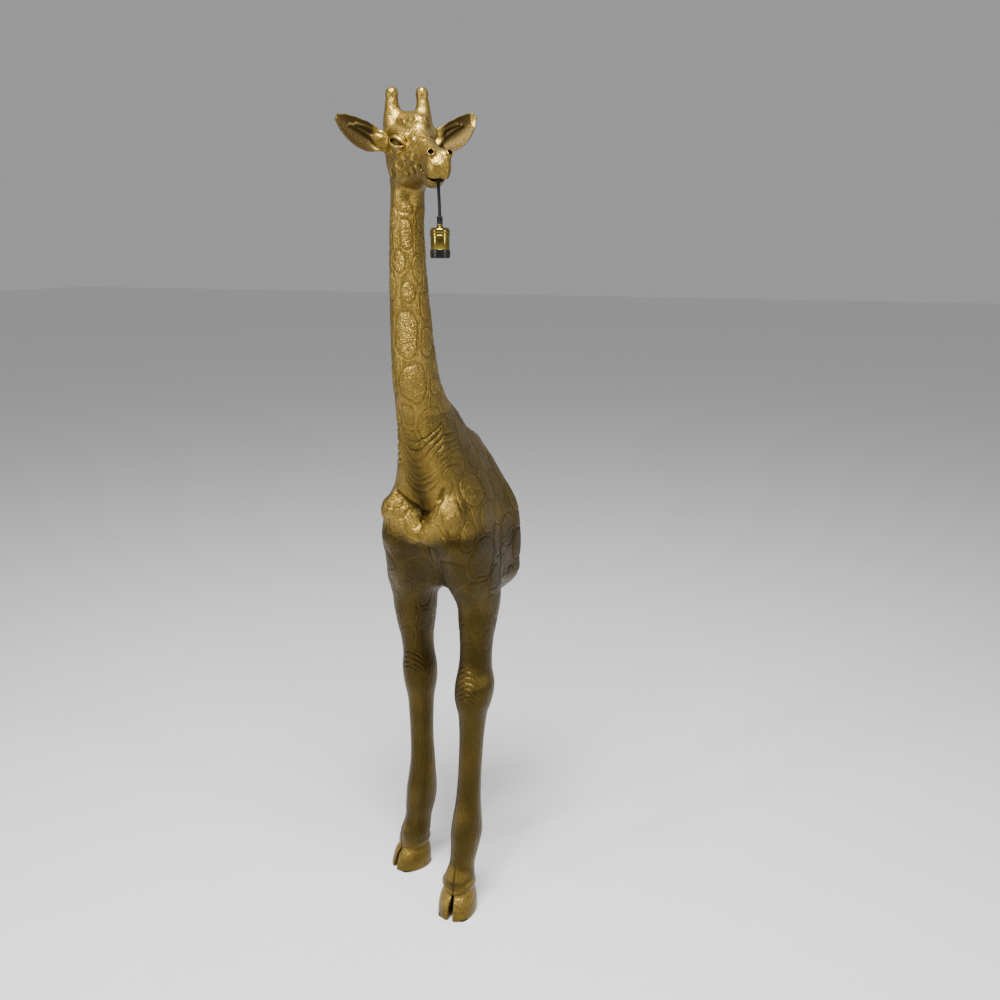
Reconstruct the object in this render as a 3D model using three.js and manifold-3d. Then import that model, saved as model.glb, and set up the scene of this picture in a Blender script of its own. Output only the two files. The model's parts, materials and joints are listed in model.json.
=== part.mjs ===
// Standing half-giraffe floor lamp: resin castings over a steel armature, closed by a board against the wall.
// Millimetres, +Z up. The animal looks along -Y, its left side is +X, and the wall is at the +Y end.
import * as THREE from "three";
import { mergeVertices } from "three/addons/utils/BufferGeometryUtils.js";
import Module from "manifold-3d";

const wasm = await Module();
wasm.setup();

// ---- driving dimensions ----
const GAP = 0.4; // kept between two pieces that touch
const WALL = 14; // thickness of the head casting
const TRUNK_WALL = 6.5; // thickness of the trunk casting
const SEAT = 9; // how far a spigot is set in from the outside of the castings it joins
const CUT_Y = 300; // plane where the trunk is cut off
const NECK_SEAM_Z = 1290; // neck casting stands on the trunk casting here
const HEAD_SEAM_Z = 1694; // head casting sits on the neck casting here
const LEG_SEAM_Z = 770; // leg castings plug into the trunk here
const SPIGOT = 45; // how far one casting reaches into the next
const PAD_HEIGHT = 2; // rubber under the hooves
const PAD_INSET = 1.5; // pads stay this far inside the claws
const PAD_SHIFT = 2; // and sit this far back from the toes
const CLAW_SPREAD = 4; // each claw turns outwards by this many degrees
const BOARD_THICK = 10;
const BUSH = { height: 8, bore: 3.8, radius: 5 };
const BOARD_PROUD = 2; // board stands this far behind the trunk's rim
const TUBE_OUT = 20;
const TUBE_IN = 15;
const TUBE_SIDES = 10;
const TUBE_STEPS = 16;
const ROD_D = 12;
const FLEX_D = 6;
const ARMATURE_Z = 905; // top face of the armature plate
const ARMATURE_THICK = 6;
const RING_SIDES = 20; // round the neck, trunk and head
const LIMB_SIDES = 16; // round the legs and shoulders

// Head: its own frame has the distance forward of the skull centre, the distance to the left, and the height.
const HEAD_YAW = THREE.MathUtils.degToRad(45);
const HEAD_AT = [6.5, -39.5];
const MOUTH = { forward: 167, left: 0, z: 1724 }; // lower face of the bush where the flex leaves the mouth
const SWING_ROOM = 1.6; // the hanging flex turns about a point this far below the bush
const CORD_DROP = 68; // from the bush to the cord grip
const CORD_SHIFT = 1.5; // the flex sets this far sideways as it hangs
const GRIP_MOUTH = 4.3; // radius of the flare in which the flex tilts

// Lampholder, measured down from the top of the cord grip.
const GRIP = { radius: 5.6, height: 15.5 };
const HOLDER = {
  capTop: 15.9,
  capRadius: 19.1,
  capBottom: 37,
  shellRadius: 18.2,
  shellTop: 30,
  shellBottom: 66,
  ringRadius: 19.4,
  ringTop: 62,
  ringBottom: 77.5,
};

// ---- board, armature and core ----
const boardFront = CUT_Y + BOARD_PROUD - BOARD_THICK;
const boardBack = CUT_Y + BOARD_PROUD;
const SCREW_BLOCK = { half: 13, depth: 36, reach: 40 }; // the blocks run out to the casting's wall
const SCREW_R = 2;
const BOLT_R = 2.5;
const HANGER_SCREW_R = 1.5;
const SCREWS = [
  [0, 1072],
  [62, 1000],
  [-62, 1000],
  [88, 870],
  [-88, 870],
  [0, 776],
];
const BOARD_POINTS = 24;
const BOARD_OUTLINE = [
  [0, 1092],
  [24, 1078],
  [58, 1026],
  [84, 976],
  [101, 915],
  [104, 865],
  [94, 806],
  [70, 772],
  [0, 760],
];
const GLAND = { x: 0, z: 815, body: 8, flange: 12 };
const HANGER = { z: 1035, width: 48, height: 18, thick: 2, screw: 18 };
const BRACKET = { bolt: 30, z: 922, height: 40, thick: 6 };
const ROD_LEFT = [
  [75, 36, 50],
  [76, 142, ARMATURE_Z + 14],
];
const ROD_RIGHT = [
  [-104, 149, 50],
  [-88, 146, ARMATURE_Z + 14],
];
const ROD_NUT = { radius: 11, height: 9 };
const TUBE_PATH = [
  [0, 150, ARMATURE_Z + 22],
  [0, 132, 1000],
  [0, 92, 1110],
  [0, 48, 1210],
  [0, 0, 1320],
  [0, -28, 1430],
  [0, -42, 1540],
  [0, -45, 1640],
  [0, -42, 1690],
];
const CORE = { top: 31, bottom: 43, radius: 16.6 }; // the insulating core, under the top of the grip
const THREAD_PITCH = 3.62; // of an E27 lamp cap

// ---- outlines of the castings ----
// Neck column and trunk core, one level per line: height, then half of the horizontal outline from the front
// midline to the back midline as [x, y] points.
const COLUMN = [
  [1730, [0, -76], [22, -66], [31, -38], [22, -10], [0, 1]],
  [1694, [0, -80], [22, -70], [31.5, -42], [23, -13], [0, -2]],
  [1633, [0, -89], [23, -77], [33, -47], [24, -15], [0, -4]],
  [1573, [0, -91], [24, -79], [35, -46], [25, -12], [0, 0]],
  [1513, [0, -92], [26, -78], [38, -42], [26, -6], [0, 9]],
  [1451, [0, -90], [28, -75], [40.5, -35], [27, 5], [0, 24]],
  [1387, [0, -89], [30, -72], [42.5, -26], [28, 18], [0, 42]],
  [1321, [0, -84], [31, -66], [43.5, -14], [29, 40], [0, 68]],
  [1290, [0, -75], [32, -58], [45.5, -3], [30, 58], [0, 92]],
  [1256, [0, -64], [35, -47], [49, 12], [32, 84], [0, 136]],
  [1220, [0, -55], [39, -36], [55, 28], [36, 114], [0, 190]],
  [1180, [0, -45], [44, -26], [62, 42], [43, 146], [0, 236]],
  [1135, [0, -35], [51, -14], [72, 56], [55, 186], [3, 304]],
  [1100, [0, -26], [58, -6], [82, 66], [70, 198], [24, 304]],
  [1060, [0, -12], [68, 0], [101, 76], [88, 205], [50, 304]],
  [1025, [0, 2], [74, 4], [112, 84], [103, 208], [76, 304]],
  [987, [0, 7], [76, 10], [116, 90], [114, 210], [101, 304]],
  [950, [0, 7], [74, 20], [118, 98], [121, 215], [115, 304]],
  [914, [0, 22], [74, 34], [118, 110], [125, 220], [120, 304]],
  [876, [0, 52], [74, 58], [117, 125], [127, 225], [121, 304]],
  [839, [0, 82], [70, 88], [106, 150], [122, 230], [118, 304]],
  [810, [0, 108], [62, 118], [94, 175], [114, 238], [113, 304]],
  [780, [0, 190], [40, 196], [76, 222], [96, 258], [103, 304]],
  [750, [0, 256], [26, 258], [50, 264], [66, 280], [74, 304]],
];

// Upright round forms, a level per line: height, centre x, centre y, half width, half depth, turn in degrees.
const SHOULDER_LEFT = [
  [1085, 42, 78, 22, 40, 0],
  [1050, 54, 66, 46, 66, 0],
  [1025, 60, 64, 52, 76, 0],
  [990, 64, 62, 56, 86, 0],
  [950, 67, 70, 61, 96, 0],
  [914, 70, 86, 60, 94, 0],
  [876, 71, 100, 61, 92, 0],
  [839, 74, 114, 60, 86, 0],
  [801, 78, 127, 55, 74, 0],
  [770, 80, 132, 50, 65, 0],
];
const SHOULDER_RIGHT = SHOULDER_LEFT.map(([z, x, y, w, d]) => {
  const low = THREE.MathUtils.smoothstep(1000 - z, 0, 230);
  return [z, -x - 12 * low ** 2, y + 8 * low, w - 4 * (1 - low) - 6 * Math.sin(Math.PI * low), d, -10 * low];
});
const PECTORAL = { x: 53, y: 3, z: 998, radii: [40, 39, 44] };
const LEG_LEFT = [
  [770, 80, 132, 50, 65, 0],
  [723, 80, 126, 44, 58, 0],
  [685, 79, 121, 40, 51, 0],
  [648, 79, 116, 38, 48, 0],
  [611, 79, 110, 40, 50, 0],
  [574, 80, 105, 47, 55, 0],
  [537, 79, 99, 45, 53, 0],
  [500, 79, 93, 35, 42, 0],
  [462, 79, 88, 31, 37, 0],
  [388, 79, 77, 28.5, 33, 0],
  [312, 79, 66, 29, 33, 0],
  [274, 79, 60, 31, 35, 0],
  [235, 78, 56, 35, 42, 0],
  [198, 77, 53, 38, 46, 0],
  [159, 76, 43, 34, 40, 0],
  [120, 73, 32, 31, 36, 0],
  [86, 70, 22, 37, 42, 0],
];
const LEG_RIGHT = [
  [770, -92, 140, 50, 65, -10],
  [738, -93, 142, 48, 61, -12],
  [698, -93, 144, 42, 54, -15],
  [658, -92, 145, 36, 46, -18],
  [618, -90, 146, 36, 43, -20],
  [577, -88, 146, 41, 46, -22],
  [536, -87, 147, 39, 44, -22],
  [494, -87, 147, 32, 36, -22],
  [452, -87, 147, 30, 33, -22],
  [389, -87, 147, 28.5, 31, -22],
  [322, -86, 147, 30, 33, -22],
  [275, -88, 147, 33, 37, -24],
  [235, -91, 148, 35, 42, -26],
  [190, -96, 150, 34, 42, -28],
  [142, -104, 149, 31, 37, -30],
  [100, -112, 146, 37, 42, -32],
];
// Hoof: one claw level per line: height, sideways from the hoof's middle, forward, half width, half length.
const CLAW = [
  [PAD_HEIGHT + GAP, 23, 6, 22, 50],
  [30, 23, 3, 22.5, 49],
  [62, 22, -4, 22, 43],
  [95, 17, -11, 19, 33],
];
const HOOF_LEFT = { x: 69, y: 16, turn: 1 };
const HOOF_RIGHT = { x: -121, y: 148, turn: -33 };

// Head levels along its forward direction: distance, top, bottom, half width.
const SKULL = [
  [-50, 1812, 1772, 16],
  [-40, 1838, 1748, 34],
  [-20, 1855, 1712, 44],
  [5, 1861, 1700, 49],
  [35, 1852, 1701, 49],
  [60, 1837, 1706, 46],
  [85, 1819, 1710, 38],
  [115, 1799, 1711, 30],
  [140, 1788, 1709, 27],
  [150, 1785, 1708, 26.5],
  [157, 1782, 1710, 26],
  [161, 1780, 1723, 26],
  [171, 1774, 1725, 25],
  [181, 1764, 1729, 21],
  [189, 1752, 1736, 12],
];
const OSSICONE = { forward: -4, left: 31, base: 1825, tip: 1907, radius: 12.5 };
const NOSTRIL = { forward: 166, left: 14, z: 1768, radius: 5.5, depth: 8 };
// Ear: distance from root to tip as a share, then half height of the leaf and depth of its cup.
const EAR = {
  root: [-6, 44, 1790],
  tipLeft: [-2, 145, 1859],
  tipRight: [-2, 145, 1846],
  thick: 5,
  leaf: [
    [0.12, 13, 6],
    [0.22, 21, 11],
    [0.34, 27, 15],
    [0.52, 29, 15],
    [0.72, 22, 10],
    [0.88, 12, 4],
    [1, 3, 1],
  ],
};

// ---- materials ----
const paint = (color, roughness, metalness) =>
  new THREE.MeshStandardMaterial({ color, roughness, metalness });
const GOLD = paint(0xb8923f, 0.38, 0.9);
const BLACK = paint(0x141312, 0.5, 0);
const BRASS = paint(0xb59a4a, 0.25, 1);
const STEEL = paint(0x8a8c90, 0.4, 1);
const BOARD = paint(0x9c7a52, 0.8, 0);
const RUBBER = paint(0x1c1c1c, 0.9, 0);
const CERAMIC = paint(0xe6e2d8, 0.5, 0);
const FIBRE = paint(0xd8cfb8, 0.8, 0);

// ---- solids ----
function solid(geometry) {
  const bare = geometry.clone();
  bare.deleteAttribute("normal");
  bare.deleteAttribute("uv");
  const merged = mergeVertices(bare, 1e-4);
  const vertProperties = new Float32Array(merged.attributes.position.array);
  const triVerts = new Uint32Array(merged.index.array);
  return new wasm.Manifold(new wasm.Mesh({ numProp: 3, vertProperties, triVerts }));
}

function geometryOf(made) {
  const mesh = made.getMesh();
  const geometry = new THREE.BufferGeometry();
  geometry.setAttribute("position", new THREE.BufferAttribute(mesh.vertProperties, 3));
  geometry.setIndex(new THREE.BufferAttribute(mesh.triVerts, 1));
  geometry.computeVertexNormals();
  return geometry;
}

const joined = (first, ...others) => others.reduce((all, one) => all.add(one), first);
const without = (first, ...others) => others.reduce((left, one) => left.subtract(one), first);

// A closed body through rings of points, which run anticlockwise seen from the end the rings lead to.
function loft(rings) {
  const sides = rings[0].length;
  const middle = (ring) => ring.reduce((sum, p) => sum.add(p), new THREE.Vector3()).divideScalar(sides);
  const points = [...rings.flat(), middle(rings[0]), middle(rings.at(-1))];
  const first = points.length - 2;
  const last = points.length - 1;
  const end = (rings.length - 1) * sides;
  const faces = [];
  for (let j = 0; j < sides; j += 1) {
    const k = (j + 1) % sides;
    for (let i = 0; i < end; i += sides) {
      faces.push(i + j, i + k, i + sides + k, i + j, i + sides + k, i + sides + j);
    }
    faces.push(first, k, j, last, end + j, end + k);
  }
  const geometry = new THREE.BufferGeometry().setFromPoints(points);
  geometry.setIndex(faces);
  return solid(geometry);
}

// Each point of a closed level ring moved inwards by a distance.
function inset(ring, distance) {
  return ring.map((p, j) => {
    const before = ring[(j + ring.length - 1) % ring.length];
    const after = ring[(j + 1) % ring.length];
    const inward = new THREE.Vector3(before.y - after.y, after.x - before.x, 0).normalize();
    return p.clone().addScaledVector(inward, distance);
  });
}

// Half outlines mirrored and smoothed into level rings, anticlockwise seen from above.
function columnRing([z, ...half], distance) {
  const right = half.slice(1, -1).map(([x, y]) => [-x, y]);
  const back = half.at(-1);
  const backLeft = back[0] > 0 ? [[-back[0], back[1]]] : [];
  const outline = [...half, ...backLeft, ...right.reverse()];
  const curve = new THREE.CatmullRomCurve3(
    outline.map(([x, y]) => new THREE.Vector3(x, y, z)),
    true,
    "centripetal",
  );
  return inset(curve.getPoints(RING_SIDES).slice(0, RING_SIDES), distance);
}

function levelOval([z, x, y, halfWidth, halfDepth, turn], distance = 0, sides = LIMB_SIDES) {
  const angle = THREE.MathUtils.degToRad(turn);
  return Array.from({ length: sides }, (_, j) => {
    const t = (2 * Math.PI * j) / sides;
    const across = (halfWidth - distance) * Math.cos(t);
    const along = (halfDepth - distance) * Math.sin(t);
    const dx = across * Math.cos(angle) - along * Math.sin(angle);
    const dy = across * Math.sin(angle) + along * Math.cos(angle);
    return new THREE.Vector3(x + dx, y + dy, z);
  });
}

const upwards = (levels) => [...levels].sort((a, b) => a[0] - b[0]);
const columnBody = (levels, distance = 0) =>
  loft(upwards(levels).map((level) => columnRing(level, distance)));
const ovalBody = (levels, distance = 0, sides = LIMB_SIDES) =>
  loft(upwards(levels).map((level) => levelOval(level, distance, sides)));

function box(x0, x1, y0, y1, z0, z1) {
  const geometry = new THREE.BoxGeometry(x1 - x0, y1 - y0, z1 - z0);
  geometry.translate((x0 + x1) / 2, (y0 + y1) / 2, (z0 + z1) / 2);
  return solid(geometry);
}

// A round bar between two points.
function bar(from, to, radius, sides = 16) {
  const a = new THREE.Vector3(...from);
  const b = new THREE.Vector3(...to);
  const geometry = new THREE.CylinderGeometry(radius, radius, a.distanceTo(b), sides);
  const turn = new THREE.Quaternion().setFromUnitVectors(
    new THREE.Vector3(0, 1, 0),
    b.clone().sub(a).normalize(),
  );
  geometry.applyQuaternion(turn);
  geometry.translate((a.x + b.x) / 2, (a.y + b.y) / 2, (a.z + b.z) / 2);
  return solid(geometry);
}

// A turned body about a vertical axis: profile points are [radius, height], downwards outside first.
function turned(profile, x = 0, y = 0, sides = 28) {
  const geometry = new THREE.LatheGeometry(
    profile.map(([r, z]) => new THREE.Vector2(r, z)),
    sides,
  );
  geometry.rotateX(Math.PI / 2);
  geometry.translate(x, y, 0);
  return solid(geometry);
}

// A tube or solid rod swept along points. An inner radius of 0 makes it solid.
function swept(points, outer, inner, sides, steps) {
  const shape = new THREE.Shape();
  const circle = (radius) =>
    Array.from({ length: sides }, (_, j) => {
      const t = (2 * Math.PI * j) / sides;
      return new THREE.Vector2(radius * Math.cos(t), radius * Math.sin(t));
    });
  shape.setFromPoints(circle(outer));
  if (inner > 0) shape.holes.push(new THREE.Path(circle(inner)));
  const extrudePath = new THREE.CatmullRomCurve3(points.map((p) => new THREE.Vector3(...p)));
  return solid(new THREE.ExtrudeGeometry(shape, { steps, extrudePath, bevelEnabled: false }));
}

// ---- frames of head and lampholder ----
const FORWARD = new THREE.Vector3(Math.sin(HEAD_YAW), -Math.cos(HEAD_YAW), 0);
const LEFTWARD = new THREE.Vector3(Math.cos(HEAD_YAW), Math.sin(HEAD_YAW), 0);
function headPoint(forward, left, z) {
  return new THREE.Vector3(HEAD_AT[0], HEAD_AT[1], z)
    .addScaledVector(FORWARD, forward)
    .addScaledVector(LEFTWARD, left);
}
const exit = headPoint(MOUTH.forward, MOUTH.left, MOUTH.z);
const holderAt = headPoint(MOUTH.forward, MOUTH.left + CORD_SHIFT, MOUTH.z - CORD_DROP);
const down = (depth) => holderAt.z - depth;

const root = new THREE.Group();
function piece(name, made, material) {
  const mesh = new THREE.Mesh(geometryOf(made), material);
  mesh.name = name;
  root.add(mesh);
}

// ---- head ----
function headRing([forward, top, bottom, halfWidth], distance) {
  const middle = (top + bottom) / 2;
  const halfHeight = (top - bottom) / 2 - distance;
  const width = halfWidth - distance;
  return Array.from({ length: RING_SIDES }, (_, j) => {
    const t = (2 * Math.PI * j) / RING_SIDES;
    const squareness = 0.86;
    const across = Math.sign(Math.cos(t)) * Math.abs(Math.cos(t)) ** squareness;
    const up = Math.sign(Math.sin(t)) * Math.abs(Math.sin(t)) ** squareness;
    return headPoint(forward, width * across, middle + halfHeight * up);
  });
}

function earBody(side) {
  const root3 = headPoint(EAR.root[0], side * EAR.root[1], EAR.root[2]);
  const tip = side > 0 ? EAR.tipLeft : EAR.tipRight;
  const tip3 = headPoint(tip[0], side * tip[1], tip[2]);
  const along = tip3.clone().sub(root3);
  const direction = along.clone().normalize();
  const facing = FORWARD.clone().addScaledVector(direction, -FORWARD.dot(direction)).normalize();
  const upward = new THREE.Vector3().crossVectors(direction, facing).multiplyScalar(-side);
  const half = 8;
  const rings = EAR.leaf.map(([share, height, cup]) => {
    const centre = root3.clone().addScaledVector(along, share);
    const edge = (s, depth) =>
      centre
        .clone()
        .addScaledVector(upward, s * height)
        .addScaledVector(facing, cup * s * s - depth);
    const inner = Array.from({ length: half + 1 }, (_, j) => edge((2 * j) / half - 1, 0));
    const outer = Array.from({ length: half - 1 }, (_, j) => edge(1 - (2 * (j + 1)) / half, EAR.thick));
    return [...inner, ...outer];
  });
  const leaf = loft(side > 0 ? rings.map((ring) => [...ring].reverse()) : rings);
  const pegEnd = root3.clone().addScaledVector(direction, -14);
  const pegStart = root3.clone().addScaledVector(along, 0.2).addScaledVector(facing, -2);
  return { leaf, peg: (grow) => bar(pegEnd.toArray(), pegStart.toArray(), 6 + grow, 16) };
}

const ears = { left: earBody(1), right: earBody(-1) };

function headCasting() {
  const skull = loft(SKULL.map((level) => headRing(level, 0)));
  const hollow = loft(SKULL.slice(1, -5).map((level) => headRing(level, WALL)));
  const horns = [-1, 1].map((side) => {
    const at = headPoint(OSSICONE.forward, side * OSSICONE.left, 0);
    const r = OSSICONE.radius;
    const levels = [
      [OSSICONE.base, r * 1.5],
      [OSSICONE.base + 22, r * 1.25],
      [OSSICONE.base + 38, r],
      [OSSICONE.tip - 8, r],
      [OSSICONE.tip - 3, r * 0.85],
      [OSSICONE.tip, r * 0.45],
    ];
    return ovalBody(levels.map(([z, radius]) => [z, at.x, at.y, radius, radius, 0]));
  });
  const neckEnd = COLUMN.filter(([z]) => z <= 1740 && z >= HEAD_SEAM_Z);
  const collar = columnBody([...neckEnd, [1765, ...COLUMN[0].slice(1)]]);
  const collarHollow = columnBody(
    [[HEAD_SEAM_Z - 5, ...COLUMN[1].slice(1)], ...neckEnd, [1755, ...COLUMN[0].slice(1)]],
    SEAT,
  );
  const bore = bar(
    headPoint(MOUTH.forward, MOUTH.left, MOUTH.z - 20).toArray(),
    headPoint(MOUTH.forward, MOUTH.left, MOUTH.z + 16).toArray(),
    BUSH.radius + GAP,
  );
  const passage = bar(
    headPoint(120, MOUTH.left, 1746).toArray(),
    headPoint(MOUTH.forward + 3, MOUTH.left, MOUTH.z + 20).toArray(),
    8,
  );
  const nostrils = [-1, 1].map((side) =>
    bar(
      headPoint(NOSTRIL.forward - 2, side * NOSTRIL.left, NOSTRIL.z - NOSTRIL.depth).toArray(),
      headPoint(NOSTRIL.forward + 6, side * NOSTRIL.left * 1.3, NOSTRIL.z + NOSTRIL.depth).toArray(),
      NOSTRIL.radius,
      16,
    ),
  );
  return without(
    joined(skull, collar, ...horns),
    hollow,
    collarHollow,
    bore,
    passage,
    ...nostrils,
    ...Object.values(ears).map(({ peg }) => peg(GAP)),
  );
}

// ---- neck, trunk and legs ----
const between = (levels, low, high) => levels.filter(([z]) => z > low && z < high);
const levelAt = (levels, z) => {
  const above = levels.findLast((level) => level[0] >= z);
  const below = levels.find((level) => level[0] <= z);
  const share = above[0] === below[0] ? 0 : (above[0] - z) / (above[0] - below[0]);
  const mix = (a, b) => (Array.isArray(a) ? a.map((v, i) => mix(v, b[i])) : a + (b - a) * share);
  return [z, ...above.slice(1).map((value, i) => mix(value, below[i + 1]))];
};
const span = (levels, low, high) => [
  levelAt(levels, high),
  ...between(levels, low, high),
  levelAt(levels, low),
];

function neckCasting() {
  const outside = columnBody(span(COLUMN, NECK_SEAM_Z + GAP, HEAD_SEAM_Z - GAP));
  const upperSpigot = columnBody(span(COLUMN, HEAD_SEAM_Z - 10, HEAD_SEAM_Z + 20), SEAT + GAP);
  const lowerSpigot = columnBody(span(COLUMN, NECK_SEAM_Z - SPIGOT, NECK_SEAM_Z + 10), SEAT + GAP + 3);
  const mouthOfBore = columnBody(span(COLUMN, HEAD_SEAM_Z - 15, HEAD_SEAM_Z + 25), SEAT + 7);
  const bore = swept(TUBE_PATH, TUBE_OUT / 2 + 2, 0, TUBE_SIDES, TUBE_STEPS);
  return without(joined(outside, upperSpigot, lowerSpigot), bore, mouthOfBore);
}

function trunkCasting() {
  const shoulders = [SHOULDER_LEFT, SHOULDER_RIGHT];
  const chest = [-1, 1].map((side) => {
    const bulge = new THREE.SphereGeometry(1, 14, 10);
    bulge.scale(...PECTORAL.radii);
    bulge.translate(side * PECTORAL.x, PECTORAL.y, PECTORAL.z);
    return solid(bulge);
  });
  const outside = joined(
    columnBody(span(COLUMN, 750, NECK_SEAM_Z)),
    ...shoulders.map((levels) => ovalBody(levels)),
    ...chest,
  );
  const openLegs = shoulders.map((levels) => [...levels, [LEG_SEAM_Z - 8, ...levels.at(-1).slice(1)]]);
  const inside = joined(
    columnBody([...span(COLUMN, 790, NECK_SEAM_Z), [NECK_SEAM_Z + 6, ...COLUMN[8].slice(1)]], TRUNK_WALL),
    ...openLegs.map((levels) => ovalBody(levels, TRUNK_WALL)),
  );
  const behindCut = box(-200, 200, CUT_Y, CUT_Y + 60, 600, 1300);
  const openBack = boardBody(1.5, CUT_Y - 60, CUT_Y + 20);
  const blocks = SCREWS.map(([x, z]) => {
    const { half, depth, reach } = SCREW_BLOCK;
    const left = half + (x < 0 ? reach : 0);
    const right = half + (x > 0 ? reach : 0);
    const below = half + (x === 0 && z < ARMATURE_Z ? reach : 0);
    const above = half + (x === 0 && z > ARMATURE_Z ? reach : 0);
    return box(x - left, x + right, CUT_Y - depth, boardFront - GAP, z - below, z + above);
  });
  const shell = without(outside, inside, behindCut, openBack);
  const held = blocks.map((block) => block.intersect(outside));
  return without(joined(shell, ...held), ...SCREWS.map(([x, z]) => screwHole(x, z)));
}

function boardBody(grow, front, back) {
  const half = BOARD_OUTLINE.map(([x, z]) => new THREE.Vector2(x, z));
  const mirror = BOARD_OUTLINE.slice(1, -1).map(([x, z]) => new THREE.Vector2(-x, z));
  const corners = [...half, ...mirror.reverse()].map((p) => new THREE.Vector3(p.x, 0, p.y));
  const curve = new THREE.CatmullRomCurve3(corners, true, "centripetal");
  const ring = curve.getPoints(BOARD_POINTS).slice(0, BOARD_POINTS);
  const centre = new THREE.Vector3(0, 0, 920);
  const outline = ring.map((p) => {
    const out = p.clone().sub(centre).normalize();
    return p.addScaledVector(out, grow);
  });
  const at = (y) => outline.map((p) => new THREE.Vector3(p.x, y, p.z));
  return loft([at(front), at(back)]);
}

// A level bar square to the board.
const acrossBoard = (x, z, from, to, radius, sides = 12) => bar([x, from, z], [x, to, z], radius, sides);
const screwHole = (x, z) => acrossBoard(x, z, CUT_Y - 34, boardBack + 5, SCREW_R + GAP);

function backBoard() {
  const beyond = boardBack + 5;
  const { x: glandX, z: glandZ } = GLAND;
  const { bolt, z: boltZ } = BRACKET;
  const screws = SCREWS.flatMap(([x, z]) => [
    screwHole(x, z),
    acrossBoard(x, z, boardBack - 3, beyond, 4.2 + GAP, 16),
  ]);
  const gland = [
    acrossBoard(glandX, glandZ, boardFront - 5, beyond, GLAND.body + GAP, 16),
    acrossBoard(glandX, glandZ, boardBack - 5, beyond, GLAND.flange + GAP, 16),
  ];
  const seat = box(
    -HANGER.width / 2 - GAP,
    HANGER.width / 2 + GAP,
    boardBack - HANGER.thick - 2 * GAP,
    beyond,
    HANGER.z - HANGER.height / 2 - GAP,
    HANGER.z + HANGER.height / 2 + GAP,
  );
  const pocket = box(-9, 9, boardBack - 9, beyond, HANGER.z - 8, HANGER.z + 6);
  const fixings = [-1, 1].flatMap((side) => [
    acrossBoard(side * HANGER.screw, HANGER.z, boardFront + 2, boardBack, HANGER_SCREW_R + GAP),
    acrossBoard(side * bolt, boltZ, boardFront - 5, beyond, BOLT_R + GAP),
    acrossBoard(side * bolt, boltZ, boardBack - 4, beyond, 5 + GAP, 16),
  ]);
  return without(boardBody(0, boardFront, boardBack), ...screws, ...gland, seat, pocket, ...fixings);
}

function boardScrew(x, z) {
  const head = acrossBoard(x, z, boardBack - 2.6, boardBack - GAP, 4, 16);
  return joined(head, acrossBoard(x, z, CUT_Y - 32, boardBack - 1, SCREW_R));
}

function hangerPlate() {
  const back = boardBack - GAP;
  const plate = box(
    -HANGER.width / 2,
    HANGER.width / 2,
    back - HANGER.thick,
    back,
    HANGER.z - HANGER.height / 2,
    HANGER.z + HANGER.height / 2,
  );
  const across = (x, z, radius) => acrossBoard(x, z, back - 6, back + 6, radius, 20);
  return without(
    plate,
    across(0, HANGER.z - 3, 4.5),
    box(-2.2, 2.2, back - 6, back + 6, HANGER.z - 3, HANGER.z + 4),
    across(HANGER.screw, HANGER.z, HANGER_SCREW_R + GAP),
    across(-HANGER.screw, HANGER.z, HANGER_SCREW_R + GAP),
  );
}

function hangerScrew(side) {
  return acrossBoard(side * HANGER.screw, HANGER.z, boardFront + 3, boardBack - GAP, HANGER_SCREW_R);
}

function clawAt(hoof, across, forward) {
  const turn = THREE.MathUtils.degToRad(hoof.turn);
  const x = hoof.x + across * Math.cos(turn) + forward * Math.sin(turn);
  const y = hoof.y + across * Math.sin(turn) - forward * Math.cos(turn);
  return [x, y];
}

function clawBody(hoof, side) {
  const levels = CLAW.map(([z, across, forward, w, d]) => {
    const [x, y] = clawAt(hoof, side * across, forward);
    return [z, x, y, w, d, hoof.turn + side * CLAW_SPREAD];
  });
  return ovalBody(levels);
}

function legCasting(levels, hoof, rod) {
  const leg = ovalBody(levels.map((level, i) => (i ? level : [LEG_SEAM_Z - GAP, ...level.slice(1)])));
  const neck = levels.at(-1);
  const pastern = ovalBody([
    [neck[0] + 2, ...neck.slice(1)],
    [20, hoof.x, hoof.y + 8, 30, 34, hoof.turn],
  ]);
  const [, x, y, w, d, turn] = levels[0];
  const spigot = ovalBody(
    [
      [LEG_SEAM_Z - 10, x, y, w, d, turn],
      [LEG_SEAM_Z + SPIGOT, x, y, w - 2, d - 2, turn],
    ],
    SEAT + 2,
  );
  return without(joined(leg, pastern, spigot, clawBody(hoof, 1), clawBody(hoof, -1)), rod(ROD_D / 2 + GAP));
}

function footPad(hoof) {
  const sole = (side) => {
    const [, across, forward, w, d] = CLAW[0];
    const [x, y] = clawAt(hoof, side * across, forward - PAD_SHIFT);
    const level = (z) => [z, x, y, w - PAD_INSET, d - 2 * PAD_INSET, hoof.turn + side * CLAW_SPREAD];
    return ovalBody([level(0), level(PAD_HEIGHT)]);
  };
  const middle = [hoof.x, hoof.y + 10, 14, 30, hoof.turn];
  const bridge = ovalBody([
    [0, ...middle],
    [PAD_HEIGHT, ...middle],
  ]);
  return joined(sole(1), sole(-1), bridge);
}

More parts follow.
